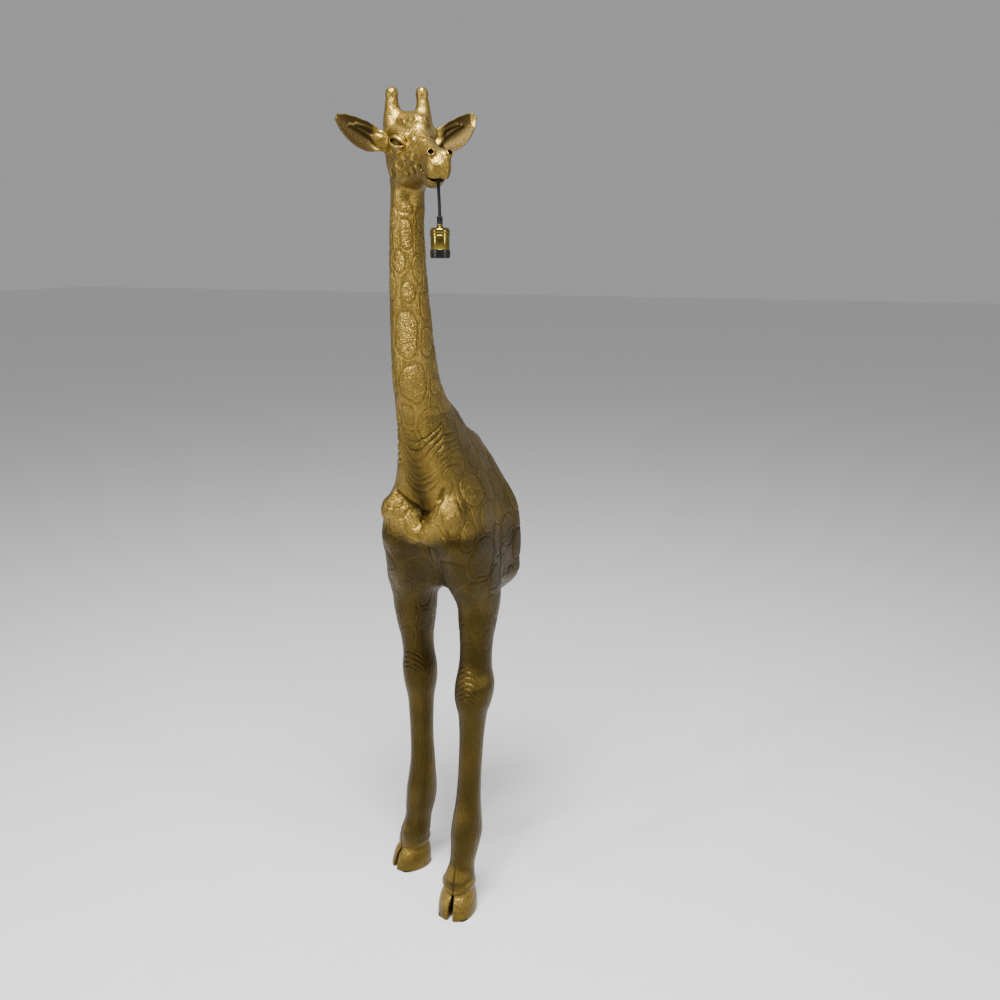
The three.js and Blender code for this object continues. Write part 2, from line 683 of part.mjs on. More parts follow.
// ---- steel inside ----
const rodLeft = (radius) => bar(...ROD_LEFT, radius, 20);
const rodRight = (radius) => bar(...ROD_RIGHT, radius, 20);
function armaturePlate() {
  const low = ARMATURE_Z - ARMATURE_THICK;
  const crossBar = box(-102, 92, 126, 166, low, ARMATURE_Z);
  const tongue = box(-18, 18, 160, boardFront - GAP, low, ARMATURE_Z);
  const upright = box(-40, 40, boardFront - BRACKET.thick - GAP, boardFront - GAP, low, low + BRACKET.height);
  const collar = bar([0, 150, ARMATURE_Z - 1], [0, 148, ARMATURE_Z + 20], 14);
  const collarHole = bar([0, 151, ARMATURE_Z - 20], [0, 147, ARMATURE_Z + 30], TUBE_IN / 2);
  const bolts = [-1, 1].map((side) =>
    acrossBoard(side * BRACKET.bolt, BRACKET.z, boardFront - 20, boardFront + 5, BOLT_R + GAP),
  );
  return without(
    joined(crossBar, tongue, upright, collar),
    collarHole,
    rodLeft(ROD_D / 2 + GAP),
    rodRight(ROD_D / 2 + GAP),
    ...bolts,
  );
}

function rodNut(rod, make) {
  const [a, b] = rod.map((p) => new THREE.Vector3(...p));
  const axis = b.clone().sub(a).normalize();
  const start = a.clone().addScaledVector(axis, (ARMATURE_Z + 2.5 - a.z) / axis.z);
  const end = start.clone().addScaledVector(axis, ROD_NUT.height);
  return without(bar(start.toArray(), end.toArray(), ROD_NUT.radius, 6), make(ROD_D / 2 + GAP));
}

function armatureBolt(side) {
  const x = side * BRACKET.bolt;
  const shank = acrossBoard(x, BRACKET.z, boardFront - 14, boardBack - 1, BOLT_R);
  return joined(shank, acrossBoard(x, BRACKET.z, boardBack - 3.4, boardBack - 0.5, 4.8, 16));
}

function armatureNut(side) {
  const x = side * BRACKET.bolt;
  const from = boardFront - BRACKET.thick - 2 * GAP;
  const nut = acrossBoard(x, BRACKET.z, from - 4, from, 5, 6);
  return nut.subtract(acrossBoard(x, BRACKET.z, from - 10, from + 5, BOLT_R + GAP));
}

// ---- flex and its fittings ----
const FLEX_INSIDE = [
  [GLAND.x, boardBack - 8, GLAND.z],
  [0, 262, GLAND.z],
  [0, 215, 818],
  [0, 172, 846],
  [0, 153, 892],
  ...TUBE_PATH,
  headPoint(8, 0, 1722).toArray(),
  headPoint(46, 0, 1747).toArray(),
  headPoint(96, 0, 1752).toArray(),
  headPoint(132, MOUTH.left, 1748).toArray(),
  headPoint(155, MOUTH.left, 1746).toArray(),
  headPoint(MOUTH.forward - 1, MOUTH.left, MOUTH.z + 17).toArray(),
  headPoint(MOUTH.forward, MOUTH.left, MOUTH.z + BUSH.height + 2).toArray(),
  headPoint(MOUTH.forward, MOUTH.left, MOUTH.z + 1.2).toArray(),
];
const FLEX_HANGING = [
  [0, SWING_ROOM],
  [0, 14],
  [0.35, 30],
  [0.8, 46],
  [1, 58],
  [1, CORD_DROP],
].map(([shift, drop]) => headPoint(MOUTH.forward, MOUTH.left + CORD_SHIFT * shift, MOUTH.z - drop).toArray());

function cableGland() {
  const { x, z, body, flange } = GLAND;
  const made = joined(
    acrossBoard(x, z, boardFront - 12, boardBack - 1, body, 16),
    acrossBoard(x, z, boardBack - 4.4, boardBack - 0.8, flange, 6),
  );
  return made.subtract(acrossBoard(x, z, boardFront - 30, boardBack + 5, FLEX_D / 2 + GAP, 16));
}

function glandNut() {
  const { x, z, body, flange } = GLAND;
  const from = boardFront - GAP;
  const nut = acrossBoard(x, z, from - 5, from, flange, 6);
  return nut.subtract(acrossBoard(x, z, from - 10, from + 5, body + GAP, 16));
}

function mouthBush() {
  const { height, bore, radius } = BUSH;
  const { x, y, z } = exit;
  return turned(
    [
      [bore, z],
      [radius, z],
      [radius, z + height],
      [bore, z + height],
      [bore, z],
    ],
    x,
    y,
    24,
  );
}

// ---- lampholder ----
function lathed(profile, sides) {
  return turned(
    profile.map(([r, depth]) => [r, down(depth)]),
    holderAt.x,
    holderAt.y,
    sides,
  );
}

function cordGrip() {
  const bore = FLEX_D / 2 + GAP;
  const made = lathed(
    [
      [GRIP_MOUTH, 0],
      [bore, 2.2],
      [bore, GRIP.height - 6],
      [4.4, GRIP.height - 6],
      [4.4, GRIP.height],
      [GRIP.radius, GRIP.height],
      [GRIP.radius, 1],
      [GRIP.radius - 0.8, 0],
      [GRIP_MOUTH, 0],
    ],
    26,
  );
  return made.subtract(sideBar(5.5, bore, GRIP.radius + 2, 1.25 + GAP / 2));
}

// A level bar that points to the animal's left from the lampholder's axis.
function sideBar(depth, from, to, radius) {
  const at = (distance) => holderAt.clone().setZ(down(depth)).addScaledVector(LEFTWARD, distance).toArray();
  return bar(at(from), at(to), radius, 12);
}

// The flex inside the grip and the nipple, down to the terminals.
const flexTail = () =>
  lathed(
    [
      [0, 2.6],
      [0, HOLDER.capTop + 12],
      [2.2, HOLDER.capTop + 12],
      [2.2, GRIP.height - 6],
      [FLEX_D / 2, GRIP.height - 6],
      [FLEX_D / 2, 2.6],
      [0, 2.6],
    ],
    12,
  );

const capNipple = () =>
  lathed(
    [
      [2.6, GRIP.height - 5],
      [2.6, HOLDER.capTop + 9],
      [4, HOLDER.capTop + 9],
      [4, GRIP.height - 5],
      [2.6, GRIP.height - 5],
    ],
    24,
  );

const holderCap = () =>
  lathed([
    [4.4, HOLDER.capTop],
    [4.4, HOLDER.capTop + 6],
    [10, HOLDER.capTop + 7],
    [15.8, HOLDER.capTop + 10],
    [HOLDER.shellRadius + 0.25, HOLDER.shellTop - 1],
    [HOLDER.shellRadius + 0.25, HOLDER.capBottom],
    [HOLDER.capRadius, HOLDER.capBottom],
    [HOLDER.capRadius + 0.3, HOLDER.capBottom - 2],
    [HOLDER.capRadius, HOLDER.capBottom - 4],
    [HOLDER.capRadius - 0.3, HOLDER.capTop + 11.5],
    [16.6, HOLDER.capTop + 7.4],
    [12, HOLDER.capTop + 5],
    [7, HOLDER.capTop + 3.6],
    [6, HOLDER.capTop + 2],
    [5.6, HOLDER.capTop],
    [4.4, HOLDER.capTop],
  ]);

const holderShell = () =>
  lathed([
    [HOLDER.shellRadius - 1, HOLDER.shellTop],
    [HOLDER.shellRadius - 1, HOLDER.shellBottom],
    [HOLDER.shellRadius, HOLDER.shellBottom],
    [HOLDER.shellRadius, HOLDER.shellTop],
    [HOLDER.shellRadius - 1, HOLDER.shellTop],
  ]);

const shadeRing = () =>
  lathed([
    [HOLDER.shellRadius + GAP, HOLDER.ringTop],
    [HOLDER.shellRadius + GAP, HOLDER.shellBottom + 1],
    [14.6, HOLDER.shellBottom + 1],
    [14.6, HOLDER.ringBottom - 1],
    [15.6, HOLDER.ringBottom],
    [HOLDER.ringRadius - 1.2, HOLDER.ringBottom],
    [HOLDER.ringRadius, HOLDER.ringBottom - 1.2],
    [HOLDER.ringRadius, HOLDER.ringTop],
    [HOLDER.shellRadius + GAP, HOLDER.ringTop],
  ]);

function insulatingCore() {
  const block = lathed([
    [0, CORE.top],
    [0, CORE.top + 8],
    [4, CORE.top + 8],
    [4, CORE.bottom],
    [CORE.radius, CORE.bottom],
    [CORE.radius, CORE.top + 1],
    [CORE.radius - 1, CORE.top],
    [0, CORE.top],
  ]);
  return without(block, ...[-1, 1].map((side) => terminalBar(side, CORE.top - 5, CORE.top + 6, 1.6 + GAP)));
}

function terminalBar(side, from, to, radius) {
  const at = holderAt.clone().addScaledVector(LEFTWARD, side * 10);
  return bar([at.x, at.y, down(from)], [at.x, at.y, down(to)], radius, 12);
}

const terminalScrew = (side) =>
  joined(
    terminalBar(side, CORE.top + 1, CORE.top + 5.5, 1.6),
    terminalBar(side, CORE.top - 2.6, CORE.top - GAP, 2.8),
    terminalBar(side, CORE.top - 1, CORE.top + 2, 1.6),
  );

const centreContact = () =>
  lathed(
    [
      [0, CORE.bottom - 1.4],
      [0, CORE.bottom + 2.6],
      [2, CORE.bottom + 2.2],
      [3, CORE.bottom + 1],
      [3.2, CORE.bottom - 1.4],
      [0, CORE.bottom - 1.4],
    ],
    20,
  );

// The sleeve's wall waves with the E27 thread.
function contactSleeve() {
  const start = CORE.bottom + GAP;
  const turns = 4;
  const stations = Array.from({ length: turns * 2 + 1 }, (_, i) => [
    i % 2 ? 13.6 : 13.1,
    start + 2 + (i * THREAD_PITCH) / 2,
  ]);
  const inner = [[13.1, start], ...stations];
  const outer = stations.map(([r, depth]) => [r + 0.6, depth]).reverse();
  return lathed([...inner, ...outer, [16.4, start + 0.8], [16.4, start], [13.1, start]], 20);
}

const liner = () =>
  lathed([
    [15.2, CORE.bottom + 2],
    [15.2, HOLDER.shellBottom - 0.5],
    [16.2, HOLDER.shellBottom - 0.5],
    [16.2, CORE.bottom + 2],
    [15.2, CORE.bottom + 2],
  ]);

// ---- assembly ----
piece("head_shell", headCasting(), GOLD);
for (const [side, ear] of Object.entries(ears)) {
  piece(`ear_${side}`, joined(ear.leaf, ear.peg(0)), GOLD);
}
piece("neck_shell", neckCasting(), GOLD);
piece("trunk_shell", trunkCasting(), GOLD);
piece("leg_left", legCasting(LEG_LEFT, HOOF_LEFT, rodLeft), GOLD);
piece("leg_right", legCasting(LEG_RIGHT, HOOF_RIGHT, rodRight), GOLD);
piece("foot_pad_left", footPad(HOOF_LEFT), RUBBER);
piece("foot_pad_right", footPad(HOOF_RIGHT), RUBBER);
piece("back_board", backBoard(), BOARD);
SCREWS.forEach(([x, z], i) => piece(`board_screw_${i + 1}`, boardScrew(x, z), STEEL));
piece("hanger_plate", hangerPlate(), STEEL);
piece("hanger_screw_left", hangerScrew(1), STEEL);
piece("hanger_screw_right", hangerScrew(-1), STEEL);
piece("armature_plate", armaturePlate(), STEEL);
piece("leg_rod_left", rodLeft(ROD_D / 2), STEEL);
piece("leg_rod_right", rodRight(ROD_D / 2), STEEL);
piece("rod_nut_left", rodNut(ROD_LEFT, rodLeft), STEEL);
piece("rod_nut_right", rodNut(ROD_RIGHT, rodRight), STEEL);
for (const [name, side] of [["left", 1], ["right", -1]]) {
  piece(`armature_bolt_${name}`, armatureBolt(side), STEEL);
  piece(`armature_nut_${name}`, armatureNut(side), STEEL);
}
piece("neck_tube", swept(TUBE_PATH, TUBE_OUT / 2, TUBE_IN / 2, TUBE_SIDES, TUBE_STEPS), STEEL);
piece("cable_gland", cableGland(), BLACK);
piece("gland_nut", glandNut(), BLACK);
piece("inner_flex", swept(FLEX_INSIDE, FLEX_D / 2, 0, 8, 72), BLACK);
piece("mouth_bush", mouthBush(), RUBBER);
piece("pendant_cord", swept(FLEX_HANGING, FLEX_D / 2, 0, 10, 6), BLACK);
piece("cord_grip", cordGrip(), BLACK);
piece("grip_screw", sideBar(5.5, FLEX_D / 2 + 2 * GAP, GRIP.radius - 0.6, 1.25), STEEL);
piece("flex_tail", flexTail(), BLACK);
piece("cap_nipple", capNipple(), BRASS);
piece("holder_cap", holderCap(), BRASS);
piece("holder_shell", holderShell(), BRASS);
piece("shade_ring", shadeRing(), BLACK);
piece("insulating_core", insulatingCore(), CERAMIC);
piece("terminal_screw_left", terminalScrew(1), BRASS);
piece("terminal_screw_right", terminalScrew(-1), BRASS);
piece("centre_contact", centreContact(), BRASS);
piece("contact_sleeve", contactSleeve(), BRASS);
piece("holder_liner", liner(), FIBRE);

// The origin is the middle of the object's footprint box, on the floor. The hanging flex isn't counted.
const bounds = new THREE.Box3();
for (const mesh of root.children) {
  if (mesh.name !== "pendant_cord") bounds.expandByObject(mesh, true);
}
const centre = bounds.getCenter(new THREE.Vector3());
root.position.set(-centre.x, -centre.y, -bounds.min.z);

const lamp = new THREE.Group();
lamp.add(root);
export default lamp;
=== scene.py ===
"""A gilded half giraffe that stands against a wall and holds a bare lampholder in its mouth on a short flex.

The statue is sculpted as a distance field in millimetres, in the model frame: the animal faces -Y, its left
is +X, and the floor is z = 0. The field is meshed, engraved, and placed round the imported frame.
"""

import json
import math

import bmesh
import bpy
import numpy as np
import openvdb
from mathutils import Euler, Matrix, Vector


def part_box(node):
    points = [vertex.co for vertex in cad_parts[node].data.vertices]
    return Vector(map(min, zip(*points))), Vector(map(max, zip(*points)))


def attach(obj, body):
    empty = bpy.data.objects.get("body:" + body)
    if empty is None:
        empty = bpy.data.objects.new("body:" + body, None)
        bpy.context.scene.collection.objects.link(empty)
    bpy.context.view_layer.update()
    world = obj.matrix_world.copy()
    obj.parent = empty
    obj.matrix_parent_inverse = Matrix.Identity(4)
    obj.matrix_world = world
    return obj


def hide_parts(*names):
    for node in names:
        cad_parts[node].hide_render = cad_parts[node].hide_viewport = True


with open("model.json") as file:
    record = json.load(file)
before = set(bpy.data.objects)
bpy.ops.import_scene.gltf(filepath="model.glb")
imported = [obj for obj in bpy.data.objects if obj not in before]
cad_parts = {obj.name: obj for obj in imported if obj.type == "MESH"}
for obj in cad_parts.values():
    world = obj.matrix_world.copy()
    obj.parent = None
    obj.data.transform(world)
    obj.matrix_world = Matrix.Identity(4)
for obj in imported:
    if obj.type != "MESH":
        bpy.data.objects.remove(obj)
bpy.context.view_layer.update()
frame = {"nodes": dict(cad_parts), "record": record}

MM = 0.001
FAR = 60.0  # distance given to sample points that no form is near
UP = np.array([0, 0, 1.0])

# ---- frames ----
HEAD_YAW = math.radians(45)
HEAD_AT = (6.5, -39.5)
FORWARD = np.array([math.sin(HEAD_YAW), -math.cos(HEAD_YAW)])
LEFTWARD = np.array([math.cos(HEAD_YAW), math.sin(HEAD_YAW)])
MOUTH_FORWARD, MOUTH_Z = 167, 1724  # where the flex leaves the mouth


def head_point(forward, left, z):
    x, y = HEAD_AT + FORWARD * forward + LEFTWARD * left
    return np.array([x, y, z])


bush_low, bush_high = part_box("mouth_bush")
bush_at = (np.array(bush_low) + np.array(bush_high)) / 2 / MM
OFFSET = bush_at - head_point(MOUTH_FORWARD, 0, bush_at[2])


def row(point):
    """A point of the model frame, in metres in the row frame."""
    return (np.asarray(point, float) + OFFSET) * MM


def linked(name, data):
    obj = bpy.data.objects.new(name, data)
    bpy.context.scene.collection.objects.link(obj)
    return obj


# ---- camera ----
CAMERA_AT = (929.8, -1893.9, 1600)
CAMERA_TURN = (75.36, 0, 21.42)
camera_data = bpy.data.cameras.new("camera")
camera_data.lens = 34.92
camera_data.sensor_width = 36
camera = linked("camera", camera_data)
camera.location = row(CAMERA_AT)
camera.rotation_euler = Euler([math.radians(a) for a in CAMERA_TURN])
bpy.context.scene.camera = camera

# ---- hanging flex ----
FLEX_D = 6
CORD_DROP = 68  # from the mouth down to the top of the grip
CORD_SHIFT = 1.5  # how far it drifts to the animal's left on the way
# Knots of its route: share of the shift, and drop.
HANGING = [(0, 1.6), (0, 14), (0.35, 30), (0.8, 46), (1, 58), (1, CORD_DROP)]


# ---- sections of the statue ----
# Neck and trunk: height, y of the front midline, then points of the left half, round to the back.
COLUMN = [
    (1730, -76, (22, -66), (31, -38), (22, -10), (0, 1)),
    (1694, -80, (22, -70), (31.5, -42), (23, -13), (0, -2)),
    (1633, -89, (23, -77), (33, -47), (24, -15), (0, -4)),
    (1573, -91, (24, -79), (35, -46), (25, -12), (0, 0)),
    (1513, -92, (26, -78), (38, -42), (26, -6), (0, 9)),
    (1451, -90, (28, -75), (40, -35), (27, 5), (0, 24)),
    (1387, -89, (30, -72), (42, -26), (28, 18), (0, 42)),
    (1321, -84, (31, -66), (43, -14), (29, 40), (0, 68)),
    (1290, -75, (32, -58), (45, -3), (30, 58), (0, 92)),
    (1256, -64, (35, -47), (49, 12), (32, 84), (0, 136)),
    (1220, -55, (39, -36), (55, 28), (36, 114), (0, 190)),
    (1180, -45, (44, -26), (62, 42), (43, 146), (0, 236)),
    (1135, -35, (51, -14), (72, 56), (55, 186), (3, 330)),
    (1100, -26, (58, -6), (82, 66), (70, 198), (26, 330)),
    (1060, -12, (68, 0), (101, 76), (88, 205), (51, 330)),
    (1025, 2, (74, 4), (112, 84), (103, 208), (77, 330)),
    (987, 7, (76, 10), (116, 90), (114, 210), (100, 330)),
    (950, 7, (74, 20), (118, 98), (117, 215), (110, 330)),
    (914, 22, (74, 34), (118, 110), (119, 220), (113, 330)),
    (876, 52, (74, 58), (117, 125), (120, 225), (114, 330)),
    (839, 82, (70, 88), (106, 150), (116, 230), (112, 330)),
    (810, 108, (62, 118), (94, 175), (114, 238), (112, 330)),
    (780, 190, (40, 196), (76, 222), (96, 258), (100, 330)),
    (750, 256, (26, 258), (50, 264), (66, 280), (70, 330)),
]

# Upright round forms: height, centre x, centre y, half width, half depth, turn in degrees.
SHOULDER_LEFT = [
    (1085, 42, 78, 22, 40, 0), (1050, 54, 66, 46, 66, 0), (1025, 60, 64, 52, 76, 0),
    (990, 64, 62, 56, 86, 0), (950, 67, 70, 61, 96, 0), (914, 70, 86, 60, 94, 0),
    (876, 71, 100, 61, 92, 0), (839, 74, 114, 60, 86, 0), (801, 78, 127, 55, 74, 0),
]
LEG_LEFT = [
    (770, 80, 132, 50, 65, 0), (723, 80, 126, 44, 58, 0), (685, 79, 121, 40, 51, 0),
    (648, 79, 116, 38, 48, 0), (611, 79, 110, 40, 50, 0), (574, 80, 105, 47, 55, 0),
    (537, 79, 99, 45, 53, 0), (500, 79, 93, 35, 42, 0), (462, 79, 88, 31, 37, 0),
    (388, 79, 77, 28.5, 33, 0), (312, 79, 66, 29, 33, 0), (274, 79, 60, 31, 35, 0),
    (235, 78, 56, 35, 42, 0), (198, 77, 53, 38, 46, 0), (159, 76, 43, 34, 40, 0),
    (120, 73, 32, 31, 36, 0), (86, 70, 22, 37, 40, 0), (60, 70, 18, 34, 34, 0),
]
LEG_RIGHT = [
    (770, -92, 140, 50, 65, -10), (738, -93, 142, 48, 61, -12), (698, -93, 144, 42, 54, -15),
    (658, -92, 145, 36, 46, -18), (618, -90, 146, 36, 43, -20), (577, -88, 146, 41, 46, -22),
    (536, -87, 147, 39, 44, -22), (494, -87, 147, 32, 36, -22), (452, -87, 147, 30, 33, -22),
    (389, -87, 147, 28.5, 31, -22), (322, -86, 147, 30, 33, -22), (275, -88, 147, 33, 37, -24),
    (235, -91, 148, 35, 42, -26), (190, -96, 150, 34, 42, -28), (142, -104, 149, 31, 37, -30),
    (100, -112, 146, 37, 40, -32), (60, -118, 146, 34, 34, -33),
]
# Muscle of the chest on each side: its upper outer and lower inner end, with the radius at each.
PECTORAL = {"high": (64, 5, 1022), "low": (19, -5, 974), "radii": (39, 26)}
# Hoof: height, how far forward its middle is, half width, half length. Then each foot's x, y and turn.
HOOF = [
    (-6, 7, 44.5, 51), (2, 7, 45.5, 51.5), (20, 5, 46, 50),
    (42, 1, 43.5, 45.5), (58, -4, 38.5, 38), (72, -9, 33, 32),
]
HOOF_LEFT = (69, 16, 1)
HOOF_RIGHT = (-121, 148, -33)


def ramp(v, low, high):
    """A smooth step from 0 to 1."""
    t = np.clip((v - low) / (high - low), 0, 1)
    return t * t * (3 - 2 * t)


def bell(v, width):
    return np.exp(-((v / width) ** 2))


def dot(parts, axis):
    return sum(v * a for v, a in zip(parts, axis))


def unit(v):
    return v / np.linalg.norm(v)


def shoulder_right():
    levels = []
    for z, x, y, w, d, _ in SHOULDER_LEFT:
        low = float(ramp(1000 - z, 0, 230))
        trim = 4 * (1 - low) + 6 * math.sin(math.pi * low)
        levels.append((z, -x - 12 * low**2, y + 8 * low, w - trim, d, -10 * low))
    return levels


# ---- distance forms ----
def soft_min(a, b, k):
    h = np.maximum(k - np.abs(a - b), 0) / k
    return np.minimum(a, b) - h * h * k / 4


def soft_max(a, b, k):
    return -soft_min(-a, -b, k)


def ellipsoid(p, centre, radii):
    q = [(v - c) for v, c in zip(p, centre)]
    k0 = np.sqrt(sum((v / r) ** 2 for v, r in zip(q, radii)))
    k1 = np.sqrt(sum((v / r**2) ** 2 for v, r in zip(q, radii))) + 1e-6
    return k0 * (k0 - 1) / k1


def taper(p, start, end, r_start, r_end):
    """A round bar whose radius changes evenly from one end to the other."""
    axis = np.array(end, float) - np.array(start, float)
    q = [v - s for v, s in zip(p, start)]
    t = np.clip(dot(q, axis) / (axis @ axis), 0, 1)
    far = np.sqrt(sum((v - t * a) ** 2 for v, a in zip(q, axis)))
    return far - (r_start + (r_end - r_start) * t)


def hermite(s):
    return 2 * s**3 - 3 * s**2 + 1, s**3 - 2 * s**2 + s, -2 * s**3 + 3 * s**2, s**3 - s**2


def smooth_levels(z, levels):
    """Each column of a table of levels at the heights z, along smooth curves."""
    table = np.array(sorted(levels), float)
    zs = table[:, 0]
    slopes = np.gradient(table[:, 1:], zs, axis=0)
    t = np.clip(z, zs[0], zs[-1])
    i = np.clip(np.searchsorted(zs, t) - 1, 0, len(zs) - 2)
    h = zs[i + 1] - zs[i]
    a, b, c, d = hermite((t - zs[i]) / h)
    columns = zip(table[:, 1:].T, slopes.T)
    return [a * v[i] + b * h * m[i] + c * v[i + 1] + d * h * m[i + 1] for v, m in columns]


def levels_at(values, levels):
    """The columns of a table of levels, in the shape of the values that they are read at."""
    columns = smooth_levels(values.ravel(), levels)
    return [v.reshape(values.shape).astype(np.float32) for v in columns]


def oval_form(p, levels):
    x, y, z = p
    *ovals, turn = smooth_levels(z.ravel(), levels)
    cx, cy, w, d, turn = (v.reshape(z.shape).astype(np.float32) for v in (*ovals, np.radians(turn)))
    u = (x - cx) * np.cos(turn) + (y - cy) * np.sin(turn)
    v = -(x - cx) * np.sin(turn) + (y - cy) * np.cos(turn)
    k0 = np.sqrt((u / w) ** 2 + (v / d) ** 2)
    k1 = np.sqrt((u / w**2) ** 2 + (v / d**2) ** 2) + 1e-6
    flat = k0 * (k0 - 1) / k1
    heights = [level[0] for level in levels]
    return np.maximum(flat, np.maximum(z - max(heights), min(heights) - z))


ANGLES = np.linspace(-math.pi, math.pi, 181)


def closed_curve(points, steps=16):
    """A closed Catmull-Rom curve, centripetal, through points."""
    p = np.array(points, float)
    n = len(p)
    out = []
    for i in range(n):
        a, b, c, d = (p[(i + k) % n] for k in (-1, 0, 1, 2))
        t1, t2, t3 = (math.sqrt(np.linalg.norm(v)) for v in (b - a, c - b, d - c))
        m1 = (c - b) / t2 - (c - a) / (t1 + t2) + (b - a) / t1
        m2 = (d - c) / t3 - (d - b) / (t2 + t3) + (c - b) / t2
        m1, m2 = m1 * t2, m2 * t2
        for k in range(steps):
            out.append(dot(hermite(k / steps), (b, m1, c, m2)))
    return np.array(out)


def column_table():
    rows = []
    for z, front, *half in COLUMN:
        back = [(-half[-1][0], half[-1][1])] if half[-1][0] > 0 else []
        mirrored = [(-x, y) for x, y in half[:-1]]
        curve = closed_curve([(0, front), *half, *back, *reversed(mirrored)])
        middle = (curve[:, 1].min() + curve[:, 1].max()) / 2
        angle = np.arctan2(curve[:, 1] - middle, curve[:, 0])
        radius = np.hypot(curve[:, 0], curve[:, 1] - middle)
        order = np.argsort(angle)
        around = np.interp(ANGLES, angle[order], radius[order], period=2 * math.pi)
        rows.append((z, middle, *around))
    return rows


COLUMN_TABLE = column_table()


def column_form(p):
    x, y, z = p
    levels = smooth_levels(z.ravel(), COLUMN_TABLE)
    middle, around = levels[0], np.array(levels[1:])
    plane = np.broadcast_shapes(x.shape, y.shape)
    out = np.empty(np.broadcast_shapes(plane, z.shape), np.float32)
    for i in range(z.size):
        dy = y - middle[i]
        angle = np.arctan2(dy, x)
        out[:, :, i] = (np.hypot(x, dy) - np.interp(angle, ANGLES, around[:, i]))[:, :, 0]
    lowest, highest = COLUMN[-1][0], COLUMN[0][0]
    return np.maximum(out, np.maximum(z - highest, lowest - z))


def true_distance(d, step):
    """A field rescaled so that it grows by one millimetre a millimetre near its surface."""
    slope = np.sqrt(sum(g**2 for g in np.gradient(d, step)))
    return d / np.clip(slope, 0.6, 3)


# ---- head ----
# Levels along the head: forward, top, bottom, half width at the top, in the middle and at the bottom.
SKULL = [
    (-52, 1806, 1776, 10, 12, 10), (-40, 1840, 1750, 28, 34, 26),
    (-20, 1855, 1722, 36, 44, 32), (5, 1859, 1710, 38, 48, 34),
    (35, 1850, 1710, 35, 47, 34), (60, 1835, 1714, 29, 42, 31),
    (85, 1818, 1718, 23, 34, 27), (115, 1799, 1719, 18, 27, 22),
    (140, 1787, 1719, 16.5, 24, 19), (155, 1781, 1719, 18, 23, 17),
    (166, 1777, 1724, 19, 22, 17), (176, 1770, 1729, 17, 20, 15),
    (184, 1760, 1734, 12, 15, 11), (190, 1749, 1743, 3, 4, 3),
]
NAPE = ((0, -37, 1672), (-12, -22, 1785))  # runs up the back of the neck into the skull
OSSICONE = {"forward": -4, "left": 31.5, "base": 1836, "tip": {1: 1909, -1: 1905}, "radius": 12}
# Eye: middle and radius of the ball, the way that it looks, and the way that the lids run down to the muzzle.
EYE = {"at": (50, 34, 1795), "radius": 17, "out": (0.6, 0.79, 0.06), "along": (0.74, -0.54, -0.34)}
NOSTRIL = (172, 15, 1765)
LIP_LINE = [(126, 1747), (138, 1740), (150, 1730), (160, 1723), (172, 1719), (190, 1718)]
EAR_ROOT = (-6, 42, 1792)
EAR_TIP = {1: (-2, 146, 1861), -1: (-2, 146, 1846)}
# Leaf of an ear: share of its length, half height, and depth of its cup.
EAR_LEAF = [
    (0, 9, 3), (0.12, 14, 8), (0.22, 21, 13), (0.34, 27, 16),
    (0.52, 28, 15), (0.72, 23.5, 10), (0.88, 16, 5), (0.97, 8, 2),
]
# Sunk patches with raised edges on the cheeks and brow: centre and half sizes.
FACE_PATCHES = [
    ((89, 36, 1769), (15, 14, 9)), ((116, 28, 1763), (11, 14, 7)),
    ((128, 25, 1748), (14, 12, 5.5)), ((102, 29, 1742), (12, 12, 8)),
    ((62, 20, 1837), (15, 14, 7)), ((62, 42, 1755), (12, 12, 8)),
    ((104, 16, 1800), (15, 12, 6)), ((34, 46, 1742), (13, 12, 11)),
    ((78, 38, 1736), (11, 12, 8)), ((6, 44, 1768), (13, 12, 13)),
]


def skull_form(q):
    a, side, z = q
    top, bottom, w_top, w_mid, w_low = levels_at(a, SKULL)
    middle, half = (top + bottom) / 2, (top - bottom) / 2
    t = np.clip((z - middle) / half, -1, 1)
    width = w_mid + (np.where(t > 0, w_top, w_low) - w_mid) * t**2
    u, v = side / width, (z - middle) / half
    k = (np.abs(u) ** 2.5 + np.abs(v) ** 2.5) ** 0.4
    scale = np.minimum(width, half)
    ends = np.maximum(SKULL[0][0] - a, a - SKULL[-1][0])
    return np.maximum((k - 1) * scale, ends)


def ear_form(q, side):
    """A cupped leaf that opens forward, with a thickened stalk at its root."""
    a, m, z = q
    m = m * side
    root, tip = np.array(EAR_ROOT, float), np.array(EAR_TIP[side], float)
    axis = tip - root
    length = np.linalg.norm(axis)
    axis /= length
    face = np.array([1.0, -0.18, 0.05])
    face = unit(face - axis * (face @ axis))
    up = np.cross(face, axis)
    d = [v - r for v, r in zip((a, m, z), root)]
    s = dot(d, axis) / length
    h = dot(d, up) * np.sign(up[2])
    f = dot(d, face)
    shares = np.array([r[0] for r in EAR_LEAF])
    height = np.interp(s, shares, [r[1] for r in EAR_LEAF]).astype(np.float32)
    cup = np.interp(s, shares, [r[2] for r in EAR_LEAF]).astype(np.float32)
    low = h + 8 * np.sin(np.clip(s, 0, 1) * math.pi)
    t = low / height
    sheet = np.abs(f - cup * np.minimum(t * t, 2.2) + 6) - 2.6
    rim = (np.abs(t) - 1) * height
    ends = np.maximum(-s, s - 1) * length
    leaf = soft_max(soft_max(sheet, rim, 3), ends, 3)
    stalk = taper((a, m, z), (-8, 36, 1806), (-9, 60, tip[2] - 42), 24, 14)
    for offset, reach in ((-9, 34), (9, 26)):
        rib = np.abs(h - offset * (1 - s) - 5 * np.sin(4 * s)) - 1.6
        ridge = np.maximum(rib, np.maximum(leaf - 2.4, np.abs(s - 0.45) * length - reach))
        leaf = soft_min(leaf, ridge, 5)
    return soft_min(leaf, stalk, 12)


